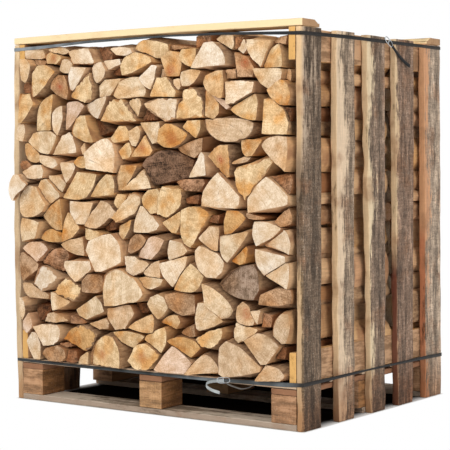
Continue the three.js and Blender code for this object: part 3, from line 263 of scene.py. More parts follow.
def end_grain_material():
    """Beech sawn across the grain and left to dry, quite matt: growth rings about the pith, rays and
    drying checks that run out from it, scores of the saw, patches of sap and a stained heart."""
    material, node = new_material("beech_sawn_end_grain")
    place = node("TexCoord").outputs["Object"]
    tone, pith, heart, sap, mottled, bark = (
        node("Attribute", attribute_name=name).outputs[output]
        for name, output in (("tone", "Color"), ("pith", "Vector"), ("heart", "Fac"), ("sap", "Fac"),
                             ("mottled", "Fac"), ("bark", "Fac")))
    # From the pith: how far along X, the log's own number, and how far up
    across, own, up = node("SeparateXYZ", [pith]).outputs
    radius = node("VectorMath", [node("CombineXYZ", {0: across, 2: up})], operation="LENGTH")
    angle = node("Math", (up, across), operation="ARCTAN2")
    wobble = node("TexNoise", {"Vector": place, "Scale": 1 / (24 * MM), "Detail": 2.0})
    bent = node("Math", (wobble, 10 * MM, radius), operation="MULTIPLY_ADD")
    # Growth rings of beech are 2 to 3 mm wide, too fine to show, so they are drawn 7 mm wide
    turns = node("Math", (bent, 2 * math.pi / (7 * MM)), operation="MULTIPLY")
    rings = node("Math", [turns], operation="SINE")
    # Rays run out from the pith: streaks a tenth of a radian wide and 40 mm long
    fine_angle = node("Math", (angle, 10.0), operation="MULTIPLY")
    long_radius = node("Math", (radius, 1 / (40 * MM)), operation="MULTIPLY")
    ray_place = node("CombineXYZ", (fine_angle, own, long_radius))
    rays = node("TexNoise", {"Vector": ray_place, "Scale": 1.0, "Detail": 3.0})
    # The chain leaves straight scores about 4 mm apart and 50 mm long, turned another way on each log
    turned = node("VectorRotate", {"Vector": pith, "Angle": own}, rotation_type="Y_AXIS")
    score_place = node("Mapping", {"Vector": turned, "Scale": (1 / (4 * MM), 1, 1 / (50 * MM))})
    scores = node("TexNoise", {"Vector": score_place, "Scale": 1.0, "Detail": 2.0})
    # Blotches are about 30 mm across, and torn pores show as specks about 3 mm across
    mottle, specks = (
        node("TexNoise", {"Vector": place, "Scale": 1 / (size * MM), "Detail": detail, "Roughness": rough})
        for size, detail, rough in ((30, 5.0, 0.7), (3, 2.0, 0.6)))
    unevenness = mottle
    for part, share in ((rings, 0.02), (rays, 0.3), (scores, 0.3), (specks, 0.6)):
        unevenness = node("Math", (part, share, unevenness), operation="MULTIPLY_ADD")
    # Ends are mottled by as much as their tone says, darker where dim is over 0.42 and lighter elsewhere
    dim = node("MapRange", {"Value": unevenness, "From Min": 1.27, "From Max": 0.92})
    from_middle = node("Math", (0.42, dim), operation="SUBTRACT")
    amount = node("Math", (mottled, 0.42), operation="MULTIPLY")
    shade = node("Math", (from_middle, amount, 1.0), operation="MULTIPLY_ADD")
    # Yellow sap stains the wood in patches about 45 mm across, more of it towards the pith
    damp = node("TexNoise", {"Vector": place, "Scale": 1 / (45 * MM), "Detail": 4.0})
    inward = node("Math", (bent, -1.6, damp), operation="MULTIPLY_ADD")
    patch = node("MapRange", {"Value": inward, "From Min": 0.38, "From Max": 0.56})
    sappy = node("Math", (patch, sap), operation="MULTIPLY")
    # Heartwood is darker and warmer within 62 mm of the pith, and a stain fades out within 30 mm of it
    inner, stain = (
        node("MapRange", {"Value": bent, "From Min": full * MM, "From Max": none * MM, "To Min": most,
                          "To Max": 0.0}, interpolation_type="SMOOTHSTEP")
        for full, none, most in ((20, 62, 0.5), (6, 30, 1.0)))
    blotches = node("MapRange", {"Value": mottle, "From Min": 0.36, "From Max": 0.62, "To Min": 0.15})
    in_rings = node("Math", (rings, 0.3, 0.8), operation="MULTIPLY_ADD")
    for part in (heart, blotches, in_rings):
        stain = node("Math", (stain, part), operation="MULTIPLY")
    # Drying checks run out from the pith: thin lines where a noise of the angle crosses its middle
    spokes = node("CombineXYZ", (angle, own, radius))
    spoke_noise = node("TexNoise", {"Vector": spokes, "Scale": 5.0, "Detail": 0.0})
    off = node("Math", (spoke_noise, 0.5), operation="SUBTRACT")
    near = node("Math", [off], operation="ABSOLUTE")
    line = node("MapRange", {"Value": near, "From Max": 0.012, "To Min": 0.6, "To Max": 0.0})
    some = node("MapRange", {"Value": mottle, "From Min": 0.5, "From Max": 0.6})
    checks = node("Math", (line, some), operation="MULTIPLY")
    # The rim shows the bark from the side, about 3 mm thick
    rim = node("MapRange", {"Value": bark, "From Min": 0.35, "From Max": 0.75, "To Max": 0.8})
    colour = node("VectorMath", {0: tone, "Scale": shade}, operation="SCALE")
    for share, code, blend in (
            (dim, "#F4E3CC", "MULTIPLY"), (sappy, "#F1CC90", "MULTIPLY"), (inner, "#F6E4C8", "MULTIPLY"),
            (stain, "#A04420", "MIX"), (checks, "#5A3A22", "MIX"), (rim, "#7A5A42", "MIX")):
        colour = node("Mix", {"Factor": share, "A": colour, "B": hex_colour(code)},
                      data_type="RGBA", blend_type=blend)
    # Saw teeth leave a fine fuzz about 1.5 mm across
    fuzz = node("TexNoise", {"Vector": place, "Scale": 1 / (1.5 * MM), "Detail": 3.0})
    height = node("Math", (checks, -2.0, fuzz), operation="MULTIPLY_ADD")
    bump = node("Bump", {"Strength": 0.35, "Distance": 0.8 * MM, "Height": height})
    node("OutputMaterial", {"Surface": node("BsdfPrincipled", {
        "Base Color": colour, "Normal": bump, "Roughness": 0.82, "Specular IOR Level": 0.25})})
    return material


def split_wood_material():
    """Beech torn along the grain by the axe, the mattest of the woods: long fibres, browner than the
    sawn end, and bark whose plates lie between darker furrows."""
    material, node = new_material("beech_split_face")
    place = node("TexCoord").outputs["Object"]
    tone = node("Attribute", attribute_name="tone").outputs["Color"]
    bark = node("Attribute", attribute_name="bark").outputs["Fac"]
    # Bundles of fibres are 4 mm wide and 70 mm long, along Y, and plates of bark 9 mm wide and 30 mm long
    noises = []
    for sizes, detail, rough in (((4, 70, 4), 3.0, 0.5), ((9, 30, 9), 5.0, 0.7)):
        stretched = node("Mapping", {"Vector": place, "Scale": [1 / (size * MM) for size in sizes]})
        noises.append(node("TexNoise", {"Vector": stretched, "Scale": 1.0, "Detail": detail,
                                        "Roughness": rough}))
    fibres, plates = noises
    shade = node("MapRange", {"Value": fibres, "From Min": 0.25, "From Max": 0.75, "To Min": 0.84,
                              "To Max": 1.14})
    # Redder patches are about 60 mm across
    patches = node("TexNoise", {"Vector": place, "Scale": 1 / (60 * MM), "Detail": 3.0})
    redness = node("MapRange", {"Value": patches, "From Min": 0.48, "From Max": 0.62, "To Max": 0.7})
    wood = node("VectorMath", {0: tone, "Scale": shade}, operation="SCALE")
    for share, code, blend in ((1.0, "#EED2B3", "MULTIPLY"), (redness, "#926648", "MIX")):
        wood = node("Mix", {"Factor": share, "A": wood, "B": hex_colour(code)}, data_type="RGBA",
                    blend_type=blend)
    plate_colour = node("ValToRGB", {"Fac": plates})
    for element, position, code in zip(plate_colour.color_ramp.elements, (0.35, 0.68),
                                       ("#6F523C", "#B8946F")):
        element.position = position
        element.color = hex_colour(code)
    colour = node("Mix", {"Factor": bark, "A": wood, "B": plate_colour}, data_type="RGBA")
    relief = node("Mix", {"Factor": bark, "A": fibres, "B": plates})
    bump = node("Bump", {"Strength": 0.6, "Distance": 1.5 * MM, "Height": relief})
    node("OutputMaterial", {"Surface": node("BsdfPrincipled", {
        "Base Color": colour, "Normal": bump, "Roughness": 0.88, "Specular IOR Level": 0.2})})
    return material


def sawn_board_material(name, *grain_axes, contrast=1.0, splashed=0.0):
    """Softwood board, band-sawn and left outdoors, matt: blotches of a worn tone that run along the
    grain, saw marks across it, specks of dirt, pale scuffs and, on upright boards, feet splashed by
    the ground. The grain runs along grain_axes, and contrast and splashed say how strongly the patterns
    and the splashes show."""
    material, node = new_material(name)
    place = node("TexCoord").outputs["Object"]
    tone = node("Attribute", attribute_name="tone").outputs["Color"]
    worn = node("Attribute", attribute_name="worn").outputs["Color"]
    wear = node("Attribute", attribute_name="wear").outputs["Fac"]
    # Sizes across and along the grain: streaks 3 by 50 mm, bands 22 by 220 mm, blotches 12 by 36 mm, and
    # saw marks 45 by 3.5 mm
    noises = []
    for across, along, detail in ((3, 50, 4.0), (22, 220, 5.0), (12, 36, 6.0), (45, 3.5, 2.0)):
        sizes = [1 / ((along if axis in grain_axes else across) * MM) for axis in range(3)]
        stretched = node("Mapping", {"Vector": place, "Scale": sizes})
        noises.append(node("TexNoise", {"Vector": stretched, "Scale": 1.0, "Detail": detail,
                                        "Roughness": 0.65}))
    streaks, bands, blotches, marks = noises
    # Where the bands, the blotches, the streaks and the wear add up, the worn tone takes over
    total = bands
    for part, share in ((blotches, 0.7), (streaks, 0.15), (wear, 1.0)):
        total = node("Math", (part, share, total), operation="MULTIPLY_ADD")
    aged = node("MapRange", {"Value": total, "From Min": 0.84, "From Max": 1.02})
    # Rusty stains are about 80 mm across. Specks of dirt and pale scuffs are both about 5 mm across, and
    # lie on the worn parts.
    rust = node("TexNoise", {"Vector": place, "Scale": 1 / (80 * MM), "Detail": 5.0})
    specks = node("TexNoise", {"Vector": place, "Scale": 1 / (5 * MM), "Detail": 4.0, "Roughness": 0.7})
    stained, scuffs, dirt = (
        node("MapRange", {"Value": noise, "From Min": start, "From Max": end, "To Max": most * contrast})
        for noise, start, end, most in ((rust, 0.54, 0.68, 0.5), (specks, 0.44, 0.34, 0.35),
                                        (specks, 0.53, 0.66, 0.6)))
    scuffs, dirt = (node("Math", (part, aged), operation="MULTIPLY") for part in (scuffs, dirt))
    # The ground's splashes reach 110 to 230 mm up, with an uneven edge
    level = node("SeparateXYZ", [place]).outputs[2]
    uneven = node("Math", (blotches, 160 * MM, level), operation="MULTIPLY_ADD")
    wet = node("MapRange", {"Value": uneven, "From Min": 230 * MM, "From Max": 110 * MM, "To Max": splashed})
    colour = node("Mix", {"Factor": aged, "A": tone, "B": worn}, data_type="RGBA")
    for share, code, blend in ((stained, "#94694A", "MIX"), (scuffs, "#CDBCA8", "MIX"),
                               (dirt, "#43352A", "MIX"), (wet, "#C4A48B", "MULTIPLY")):
        colour = node("Mix", {"Factor": share, "A": colour, "B": hex_colour(code)},
                      data_type="RGBA", blend_type=blend)
    # Light and dark from the streaks, the saw marks, the blotches and the bands, fainter where it isn't worn
    shade = 1.0
    for noise, darkest, lightest in ((streaks, 0.34, 0.26), (marks, 0.18, 0.1), (blotches, 0.3, 0.2),
                                     (bands, 0.42, 0.34)):
        light = node("MapRange", {"Value": noise, "From Min": 0.36, "From Max": 0.62,
                                  "To Min": 1 + lightest * contrast, "To Max": 1 - darkest * contrast})
        shade = node("Math", (shade, light), operation="MULTIPLY")
    strength = node("MapRange", {"Value": aged, "To Min": 0.2})
    shade = node("Mix", {"Factor": strength, "A": 1.0, "B": shade})
    shaded = node("VectorMath", {0: colour, "Scale": shade}, operation="SCALE")
    height = node("Math", (marks, 0.5, streaks), operation="MULTIPLY_ADD")
    bump = node("Bump", {"Strength": 0.6, "Distance": 1.2 * MM, "Height": height})
    node("OutputMaterial", {"Surface": node("BsdfPrincipled", {
        "Base Color": shaded, "Normal": bump, "Roughness": 0.85, "Specular IOR Level": 0.25})})
    return material


def strap_material():
    """Polypropylene strapping: dark and dusty, with a satin sheen and a fine embossed weave. Its tone is
    painted lighter where the strap turns to catch the light and darker where it lies in shade."""
    material, node = new_material("polypropylene_strapping")
    tone = node("Attribute", attribute_name="tone").outputs["Color"]
    place = node("TexCoord").outputs["Object"]
    # The embossed diamonds are about 2 mm across, and the dust lies in patches of 45 mm
    weave = node("TexChecker", {"Vector": place, "Scale": 1 / (2 * MM)}).outputs["Fac"]
    dust = node("TexNoise", {"Vector": place, "Scale": 1 / (45 * MM), "Detail": 4.0})
    light = node("MapRange", {"Value": dust, "From Min": 0.35, "From Max": 0.65, "To Min": 0.7,
                              "To Max": 1.35})
    colour = node("VectorMath", {0: tone, "Scale": light}, operation="SCALE")
    bump = node("Bump", {"Strength": 0.3, "Distance": 0.2 * MM, "Height": weave})
    node("OutputMaterial", {"Surface": node("BsdfPrincipled", {
        "Base Color": colour, "Normal": bump, "Roughness": 0.45, "Specular IOR Level": 0.2})})
    return material


def wire_material():
    """Galvanised steel wire: pale, dull metal with a zinc skin, mottled by crystals about 6 mm across."""
    material, node = new_material("galvanised_steel_wire")
    place = node("TexCoord").outputs["Object"]
    zinc = node("TexNoise", {"Vector": place, "Scale": 1 / (6 * MM), "Detail": 3.0})
    colour = node("ValToRGB", {"Fac": zinc})
    for element, code in zip(colour.color_ramp.elements, ("#A9AEB2", "#E3E6E8")):
        element.color = hex_colour(code)
    node("OutputMaterial", {"Surface": node("BsdfPrincipled", {
        "Base Color": colour, "Metallic": 1.0, "Roughness": 0.42})})
    return material


# Firewood

def seen_ends(node, facing):
    """The outline of every log end on one face of a row, with its y. The end's triangles are grouped
    by the corners that they share, and each group's corners are ordered by angle about their middle."""
    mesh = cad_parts[node].data
    corners = np.zeros(len(mesh.vertices) * 3)
    mesh.vertices.foreach_get("co", corners)
    places, welded = np.unique(np.round(corners.reshape(-1, 3), 5), axis=0, return_inverse=True)
    triangles = np.zeros(len(mesh.loops), int)
    mesh.loops.foreach_get("vertex_index", triangles)
    triangles = welded.ravel()[triangles].reshape(-1, 3)
    a, b, c = (places[triangles[:, i]] for i in range(3))
    normal = np.cross(b - a, c - a)
    normal /= np.linalg.norm(normal, axis=1)[:, None] + 1e-12
    core_face = abs(PALLET_FRONT) - RELIEF_DEPTH
    on_end = (normal[:, 1] * facing > 0.99) & (a[:, 1] * facing > core_face + 1 * MM)
    triangles = triangles[on_end]
    # The lowest number spreads from corner to corner until each group has one of its own
    group = np.arange(len(places))
    for _ in range(MOST_CORNERS):
        np.minimum.at(group, triangles, group[triangles].min(axis=1)[:, None])
    ends = []
    for label in np.unique(group[triangles[:, 0]]):
        outline = places[np.unique(triangles[group[triangles[:, 0]] == label])]
        across = outline[:, X_AND_Z]
        middle = across.mean(axis=0)
        order = np.argsort(np.arctan2(across[:, 1] - middle[1], across[:, 0] - middle[0]))
        ends.append((across[order], outline[0, 1]))
    return ends


def bark_edges(turns):
    """Which edges of an outline are bark: those at a corner that turns gently. An outline with only
    sharp corners has bark opposite its sharpest one. Also which corners are the gentle ones."""
    gentle = turns < SOFT_CORNER
    if gentle.any():
        return gentle | np.roll(gentle, -1), gentle
    bark = np.zeros(len(turns), bool)
    bark[(np.argmax(turns) + len(turns) // 2) % len(turns)] = True
    return bark, gentle


def log_section(outline):
    """Points evenly round an outline, the nearest ones moved on to its corners, and how far each is
    pushed out where an edge between two gentle corners bows out as the arc of a circle through them.
    Also each point's share of bark, the outline's sharpest corner and how far it turns there."""
    edges = np.roll(outline, -1, axis=0) - outline
    lengths = np.linalg.norm(edges, axis=1)
    headings = np.arctan2(edges[:, 1], edges[:, 0])
    turns = (headings - np.roll(headings, 1) + math.pi) % (2 * math.pi) - math.pi
    bark, gentle = bark_edges(turns)
    starts = np.concatenate([[0], np.cumsum(lengths)])
    spots = starts[-1] * np.arange(POINTS_ROUND) / POINTS_ROUND
    nearest = np.round(starts[:-1] / starts[-1] * POINTS_ROUND).astype(int) % POINTS_ROUND
    spots[nearest] = starts[:-1]
    edge = np.clip(np.searchsorted(starts, spots, side="right") - 1, 0, len(edges) - 1)
    share = (spots - starts[edge]) / lengths[edge]
    bend = np.where(gentle, turns, 0)
    bow = lengths / 2 * np.tan((bend + np.roll(bend, -1)) / 8)
    outward = np.stack([edges[:, 1], -edges[:, 0]], -1) / lengths[:, None]
    straight = outline[edge] + edges[edge] * share[:, None]
    push = (bow[edge] * 4 * share * (1 - share))[:, None] * outward[edge]
    bark_share = bark[edge] & ((share > 0.01) | bark[edge - 1])
    return straight, push, bark_share.astype(float), outline[np.argmax(turns)], turns.max()


def room_round(points, outlines):
    """How far each point round the logs, logs x points x 2, is from the nearest outline of another."""
    starts = np.concatenate(outlines)
    edges = np.concatenate([np.roll(outline, -1, axis=0) for outline in outlines]) - starts
    owner = np.arange(len(outlines))
    holder = np.repeat(owner, [len(outline) for outline in outlines])
    offset = points[:, :, None] - starts
    share = np.clip((offset * edges).sum(-1) / (edges * edges).sum(-1), 0, 1)
    gap = np.linalg.norm(offset - share[..., None] * edges, axis=-1)
    return np.where((owner[:, None] == holder)[:, None], np.inf, gap).min(axis=-1)


def settled(outlines, straight, push, box, closer):
    """Points round the logs where they rest on each other, logs x points x 2, their outward normals,
    and how far they swell along them at the seen end and spread further behind it. Arcs take up to
    half of the room to the next log, and each log then takes half of the room that is left, within the
    swell and closer times the spread. Sides with the room of a free side keep still."""
    room = room_round(straight + push, outlines)
    size = np.linalg.norm(push, axis=-1)
    allowed = np.minimum(size, np.maximum(room * 0.5, 0.3 * MM))
    points = straight + push * (allowed / np.maximum(size, 1e-9))[..., None]
    low, high = box
    walls = np.minimum(points[..., 0] - low.x, high.x - points[..., 0])
    room = np.minimum(room - allowed, 2 * np.maximum(np.minimum(walls, points[..., 1] - low.z), 0))
    ahead = np.roll(points, -1, axis=1) - np.roll(points, 1, axis=1)
    normal = np.stack([ahead[..., 1], -ahead[..., 0]], -1) / np.linalg.norm(ahead, axis=-1, keepdims=True)
    share = room * 0.5 * np.clip((FREE_SIDE - room) / (25 * MM), 0, 1)
    swell = np.clip(share - 0.3 * MM, 0, MOST_SWELL)
    spread = np.clip(share - 0.15 * MM, 0, MOST_SPREAD) * closer - swell
    return points, normal, swell, spread


def lies_at(seen, places):
    """Which ends are seen near one of some places, all of them x and z in centimetres."""
    return np.linalg.norm(seen[:, None] - np.array(places), axis=-1).min(axis=1) < NEAR_ENOUGH


def tone_of(x, z, usual):
    """The tone of a seen end at x and z in centimetres."""
    nearest, name = min((math.hypot(x - px, z - pz), name) for name, places in TONE_PLACES.items()
                        for px, pz in places)
    return name if nearest < NEAR_ENOUGH else usual


def stained_heart(x, z):
    """The stained heart of a seen end at x and z in centimetres, or None."""
    nearest, *heart = min((math.hypot(x - px, z - pz), px, pz) for px, pz in STAINED_HEARTS)
    return heart if nearest < NEAR_ENOUGH + 1 else None


def flared(places, outline):
    """Moves the end of the log that reaches past the wall to the left, and makes it larger about its
    upper left corner, by all of it where it stands out further than its neighbours and by less behind."""
    stands_out = np.abs(places[..., 1]) - abs(PALLET_FRONT)
    flare = np.clip((stands_out - 18 * MM) / (14 * MM), 0, 1)
    beyond = np.clip(stands_out / (35 * MM), 0, 1)
    moved = places.copy()
    moved[..., 0] += (flare * (PAST_WALL["wider"] - 1) * (places[..., 0] - outline[:, 0].min())
                      - beyond * PAST_WALL["left"] * MM)
    moved[..., 2] += flare * (PAST_WALL["taller"] - 1) * (places[..., 2] - outline[:, 1].max())
    return moved


def log_rings(points, normal, spread, teeth, at_wall, seen_y, facing, slant):
    """The rings of every log, logs x rings x points x 3, and its two poles. Rings on the seen end grow
    from its middle to its edge, notched by the teeth. Those behind it taper, spread out into the room,
    draw back from a wall and lie at a slant over the log's length, all by even shares."""
    count = len(points)
    middle = points.mean(axis=1, keepdims=True)
    # Behind their ends the logs beside a wall draw back from it by up to 26 mm
    set_back = -np.sign(points[..., 0]) * at_wall * np.maximum(rng.uniform(-12, 26, (count, 1)), 0) * MM
    outward = points - middle
    reach = np.linalg.norm(outward, axis=-1, keepdims=True)
    outward = outward / reach
    on_end = len(RINGS_ON_END)
    grids = np.zeros((count, on_end + len(RINGS_BEHIND), POINTS_ROUND, 3))
    notched = points - normal * teeth[..., None] - middle
    grids[:, :on_end][..., X_AND_Z] = middle[:, None] + notched[:, None] * RINGS_ON_END[:, None, None]
    lengths = np.where(RINGS_BEHIND > 0.2, 1 - 0.06 * rng.random((count, 1)), 1) * RINGS_BEHIND
    taper = 1 - rng.uniform(0.0, 0.05, (count, 1)) * RINGS_BEHIND / RINGS_BEHIND[-1]
    for i, behind in enumerate(RINGS_BEHIND):
        inset = EDGE_ROUNDING if i == 0 else 0
        off = spread * np.clip(behind / SETTLED_BY, 0, 1) - (teeth if i < 2 else 0)
        ring = middle + outward * (reach * taper[:, i, None, None] - inset) + normal * off[..., None]
        ring[..., 0] += set_back * np.clip((behind - 12 * MM) / SETTLED_BY, 0, 1)
        grids[:, on_end + i][..., X_AND_Z] = ring
    depth = np.concatenate([np.zeros((count, on_end)), lengths], axis=1)
    grids[..., 1] = (seen_y[:, None] - facing * depth)[..., None]
    grids[..., 2] += (rng.uniform(-1, 1, (count, 1)) * slant * depth / RINGS_BEHIND[-1])[..., None]
    # Split faces are scored by up to 1.6 mm along the grain, and the whole log wanders by up to 1.8 mm
    sides = grids[:, on_end + 1:]
    scored = np.abs(drift(sides, np.array([7, 90, 7]) * MM, 3)) * 1.6 * MM
    rough = np.abs(drift(sides, np.array([18, 45, 18]) * MM, 4)) * 1.8 * MM
    sides[..., X_AND_Z] -= (scored + rough)[..., None] * outward[:, None]
    # The sawn end is a little out of square, wavy by up to 1.3 mm and uneven by half a millimetre
    tilt = np.clip(rng.normal(0, 0.12, (count, 1, 1, 2)), -0.22, 0.22)
    end = grids[:, :on_end + 2]
    leaning = ((end[..., X_AND_Z] - middle[:, None]) * tilt).sum(-1)
    end[..., 1] += leaning + drift(end, 26 * MM, 5) * 1.3 * MM + drift(end, 9 * MM, 6) * 0.5 * MM
    poles = np.zeros((count, 2, 3))
    poles[..., X_AND_Z] = middle
    poles[:, 0, 1] = seen_y
    poles[:, 1, 1] = grids[:, -1, :, 1].mean(axis=1)
    return grids, poles


def log_looks(grids, poles, middle, sharpest, turn, bark, seen, follow_photo):
    """What the materials read at every vertex: its log's tone, stained heart, sap and mottling, its
    place from the log's pith and its bark. The pith lies between the log's middle and its sharpest
    corner, nearer to the corner of a wedge, or in the heart that is seen."""
    count, rings = grids.shape[:2]
    wedge = turn[:, None] > math.radians(75)
    pull = np.where(wedge, rng.uniform(0.6, 1.1, (count, 1)), rng.uniform(0.0, 0.4, (count, 1)))
    pith = middle * (1 - pull) + sharpest * pull
    hearts = np.where(rng.random(count) < 0.12, 0.7, 0.0)
    names = [USUAL_TONES[pick] for pick in rng.integers(len(USUAL_TONES), size=count)]
    if follow_photo:
        names = [tone_of(*place, usual) for place, usual in zip(seen, names)]
        for i, place in enumerate(seen):
            heart = stained_heart(*place)
            hearts[i] = 0.95 if heart else 0.0
            if heart:
                pith[i] = middle[i] + (heart - place) * CM
    tones = np.array([hex_colour(TONES[name][0]) for name in names])
    tones[:, :3] *= rng.uniform(0.93, 1.05, (count, 1))
    # The materials take the log's own number from the place of Y
    own = rng.random(count) * 9
    from_pith, pole_from_pith = grids.copy(), poles.copy()
    for places, shape in ((from_pith, (count, 1, 1)), (pole_from_pith, (count, 1))):
        places[..., X_AND_Z] -= pith.reshape(*shape, 2)
        places[..., 1] = own.reshape(shape)
    bark = np.repeat((bark * rng.choice([0.0, 0.5, 0.85, 1.0], count)[:, None])[:, None], rings, axis=1)
    bark[:, :len(RINGS_ON_END)] = 0
    saps, mottling = np.array([TONES[name][1:] for name in names]).T
    saps = saps * rng.uniform(0.7, 1.1, count)
    of_log = np.repeat(np.arange(count), rings * POINTS_ROUND + 2)
    return {
        "tone": ("FLOAT_COLOR", tones[of_log]),
        "heart": ("FLOAT", hearts[of_log]),
        "sap": ("FLOAT", saps[of_log]),
        "mottled": ("FLOAT", mottling[of_log]),
        "pith": ("FLOAT_VECTOR", per_vertex(from_pith, pole_from_pith)),
        "bark": ("FLOAT", per_vertex(bark, np.zeros((count, 2)))),
    }


def row_of_logs(name, ends, facing, node, materials, follow_photo):
    """One row of logs, each of them its seen end's outline carried back along Y. The rows behind the
    front one spread further and slant less, so that no light comes through the stack."""
    outlines = [outline for outline, _ in ends]
    seen_y = np.array([y for _, y in ends])
    straight, push, bark, sharpest, turn = (np.stack(values) for values in zip(*map(log_section, outlines)))
    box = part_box(node)
    closer, slant = (1.0, 7 * MM) if follow_photo else (1.4, 2 * MM)
    points, normal, swell, spread = settled(outlines, straight, push, box, closer)
    # Splinters and torn fibres leave the edges uneven, by more on one log in five
    torn = np.where(rng.random((len(ends), 1)) < 0.2, 4.8, 1.2) * MM
    centres = np.array([outline.mean(axis=0) for outline in outlines])
    seen_x = centres[:, 0] + PALLET_END - SEEN_LEFT * (np.abs(seen_y) - abs(PALLET_FRONT))
    seen = np.stack([seen_x, centres[:, 1] - LOG_LEVEL], -1) / CM
    past_wall = follow_photo & lies_at(seen, [PAST_WALL["seen"]])
    seen_y = seen_y - past_wall * PAST_WALL["out"] * MM
    place = np.stack([points[..., 0], np.broadcast_to(seen_y[:, None], points.shape[:2]), points[..., 1]], -1)
    uneven = np.abs(drift(place, 7 * MM, 7)) * torn
    points = points + normal * (swell - uneven)[..., None]
    # Beside a wall the logs bulge less and draw back from it by up to 18 mm, most at their top and foot
    at_wall = np.maximum(np.abs(points[..., 0]) - (box[1].x - BESIDE_WALL), 0) / BESIDE_WALL
    top, foot = (f(points[..., 1], axis=1, keepdims=True) for f in (np.max, np.min))
    bulge = ((2 * points[..., 1] - top - foot) / (top - foot)) ** 2
    back_off = at_wall * (rng.uniform(0, 11, (len(ends), 1)) + 7 * bulge) * MM
    points[..., 0] -= np.sign(points[..., 0]) * back_off
    # Teeth up to 8 mm deep round the ends that tore
    torn_end = follow_photo & lies_at(seen, TORN_ENDS)
    teeth = torn_end[:, None] * rng.random((len(ends), POINTS_ROUND)) ** 1.5 * 8 * MM
    grids, poles = log_rings(points, normal, spread, teeth, at_wall, seen_y, facing, slant)
    for i in np.flatnonzero(past_wall):
        grids[i], poles[i] = (flared(places[i], outlines[i]) for places in (grids, poles))
    looks = log_looks(grids, poles, points.mean(axis=1), sharpest, turn, bark, seen, follow_photo)
    piece = add_piece(name, tube(grids, poles), materials, [node], 32, looks)
    # The first rings of quads and all the fans are sawn ends
    is_side = np.zeros((len(ends), grids.shape[1] - 1, POINTS_ROUND), int)
    is_side[:, len(RINGS_ON_END) + 1:] = 1
    fans = np.zeros(len(piece.data.polygons) - is_side.size, int)
    piece.data.polygons.foreach_set("material_index", np.concatenate([is_side.ravel(), fans]))


def build_firewood():
    """Three rows of logs. The middle one's ends are the back row's, seen from the other side."""
    woods = [end_grain_material(), split_wood_material()]
    front = seen_ends("logs_front_row", -1)
    back = seen_ends("logs_back_row", 1)
    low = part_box("logs_middle_row")[0]
    middle = [(np.stack([-o[::-1, 0], o[::-1, 1]], -1), low.y + rng.uniform(0, 12) * MM) for o, _ in back]
    row_of_logs("firewood_front_row", front, -1, "logs_front_row", woods, True)
    row_of_logs("firewood_middle_row", middle, -1, "logs_middle_row", woods, False)
    row_of_logs("firewood_back_row", back, 1, "logs_back_row", woods, False)


# Boards

# How far apart the rings along a board are
RING_EVERY = 22 * MM
# Half of the sixteen points round a board's section, with the other half opposite: their shares of its
# half width and half thickness, and which way along them they move where their corner is worn off
HALF_SECTION = np.array([
    [1, 1, 0.5, 0, -0.5, -1, -1, -1],
    [1, 1, 1, 1, 1, 1, 1, 0],
    [0, 1, 0, 0, 0, -1, 0, 0],
    [1, 0, 0, 0, 0, 0, 1, 0]])
POINTS_ON_EDGES = [6, 7, 8, 14, 15, 0]


def board_section(half_wide, half_thick, worn):
    """Sixteen points round a rectangular section with its four corners worn off. half_wide and
    half_thick are one value for each ring, and worn is rings x 4."""
    wide, thick, off_wide, off_thick = np.concatenate([HALF_SECTION, -HALF_SECTION], axis=1)
    loss = np.repeat(worn, 4, axis=1)
    thin_loss = np.minimum(loss, 1.45 * half_thick[:, None])
    return np.stack([wide * half_wide[:, None] - off_wide * loss,
                     thick * half_thick[:, None] - off_thick * thin_loss], -1)


def board_edges(node, long_axis, wide_axis):
    """Where a CAD board's two long edges are across it, at the start and at the end of its length."""
    corners = np.array([v.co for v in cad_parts[node].data.vertices])
    at_start = corners[:, long_axis] < corners[:, long_axis].mean()
    start, end = corners[at_start][:, wide_axis], corners[~at_start][:, wide_axis]
    return (start.min(), end.min()), (start.max(), end.max())


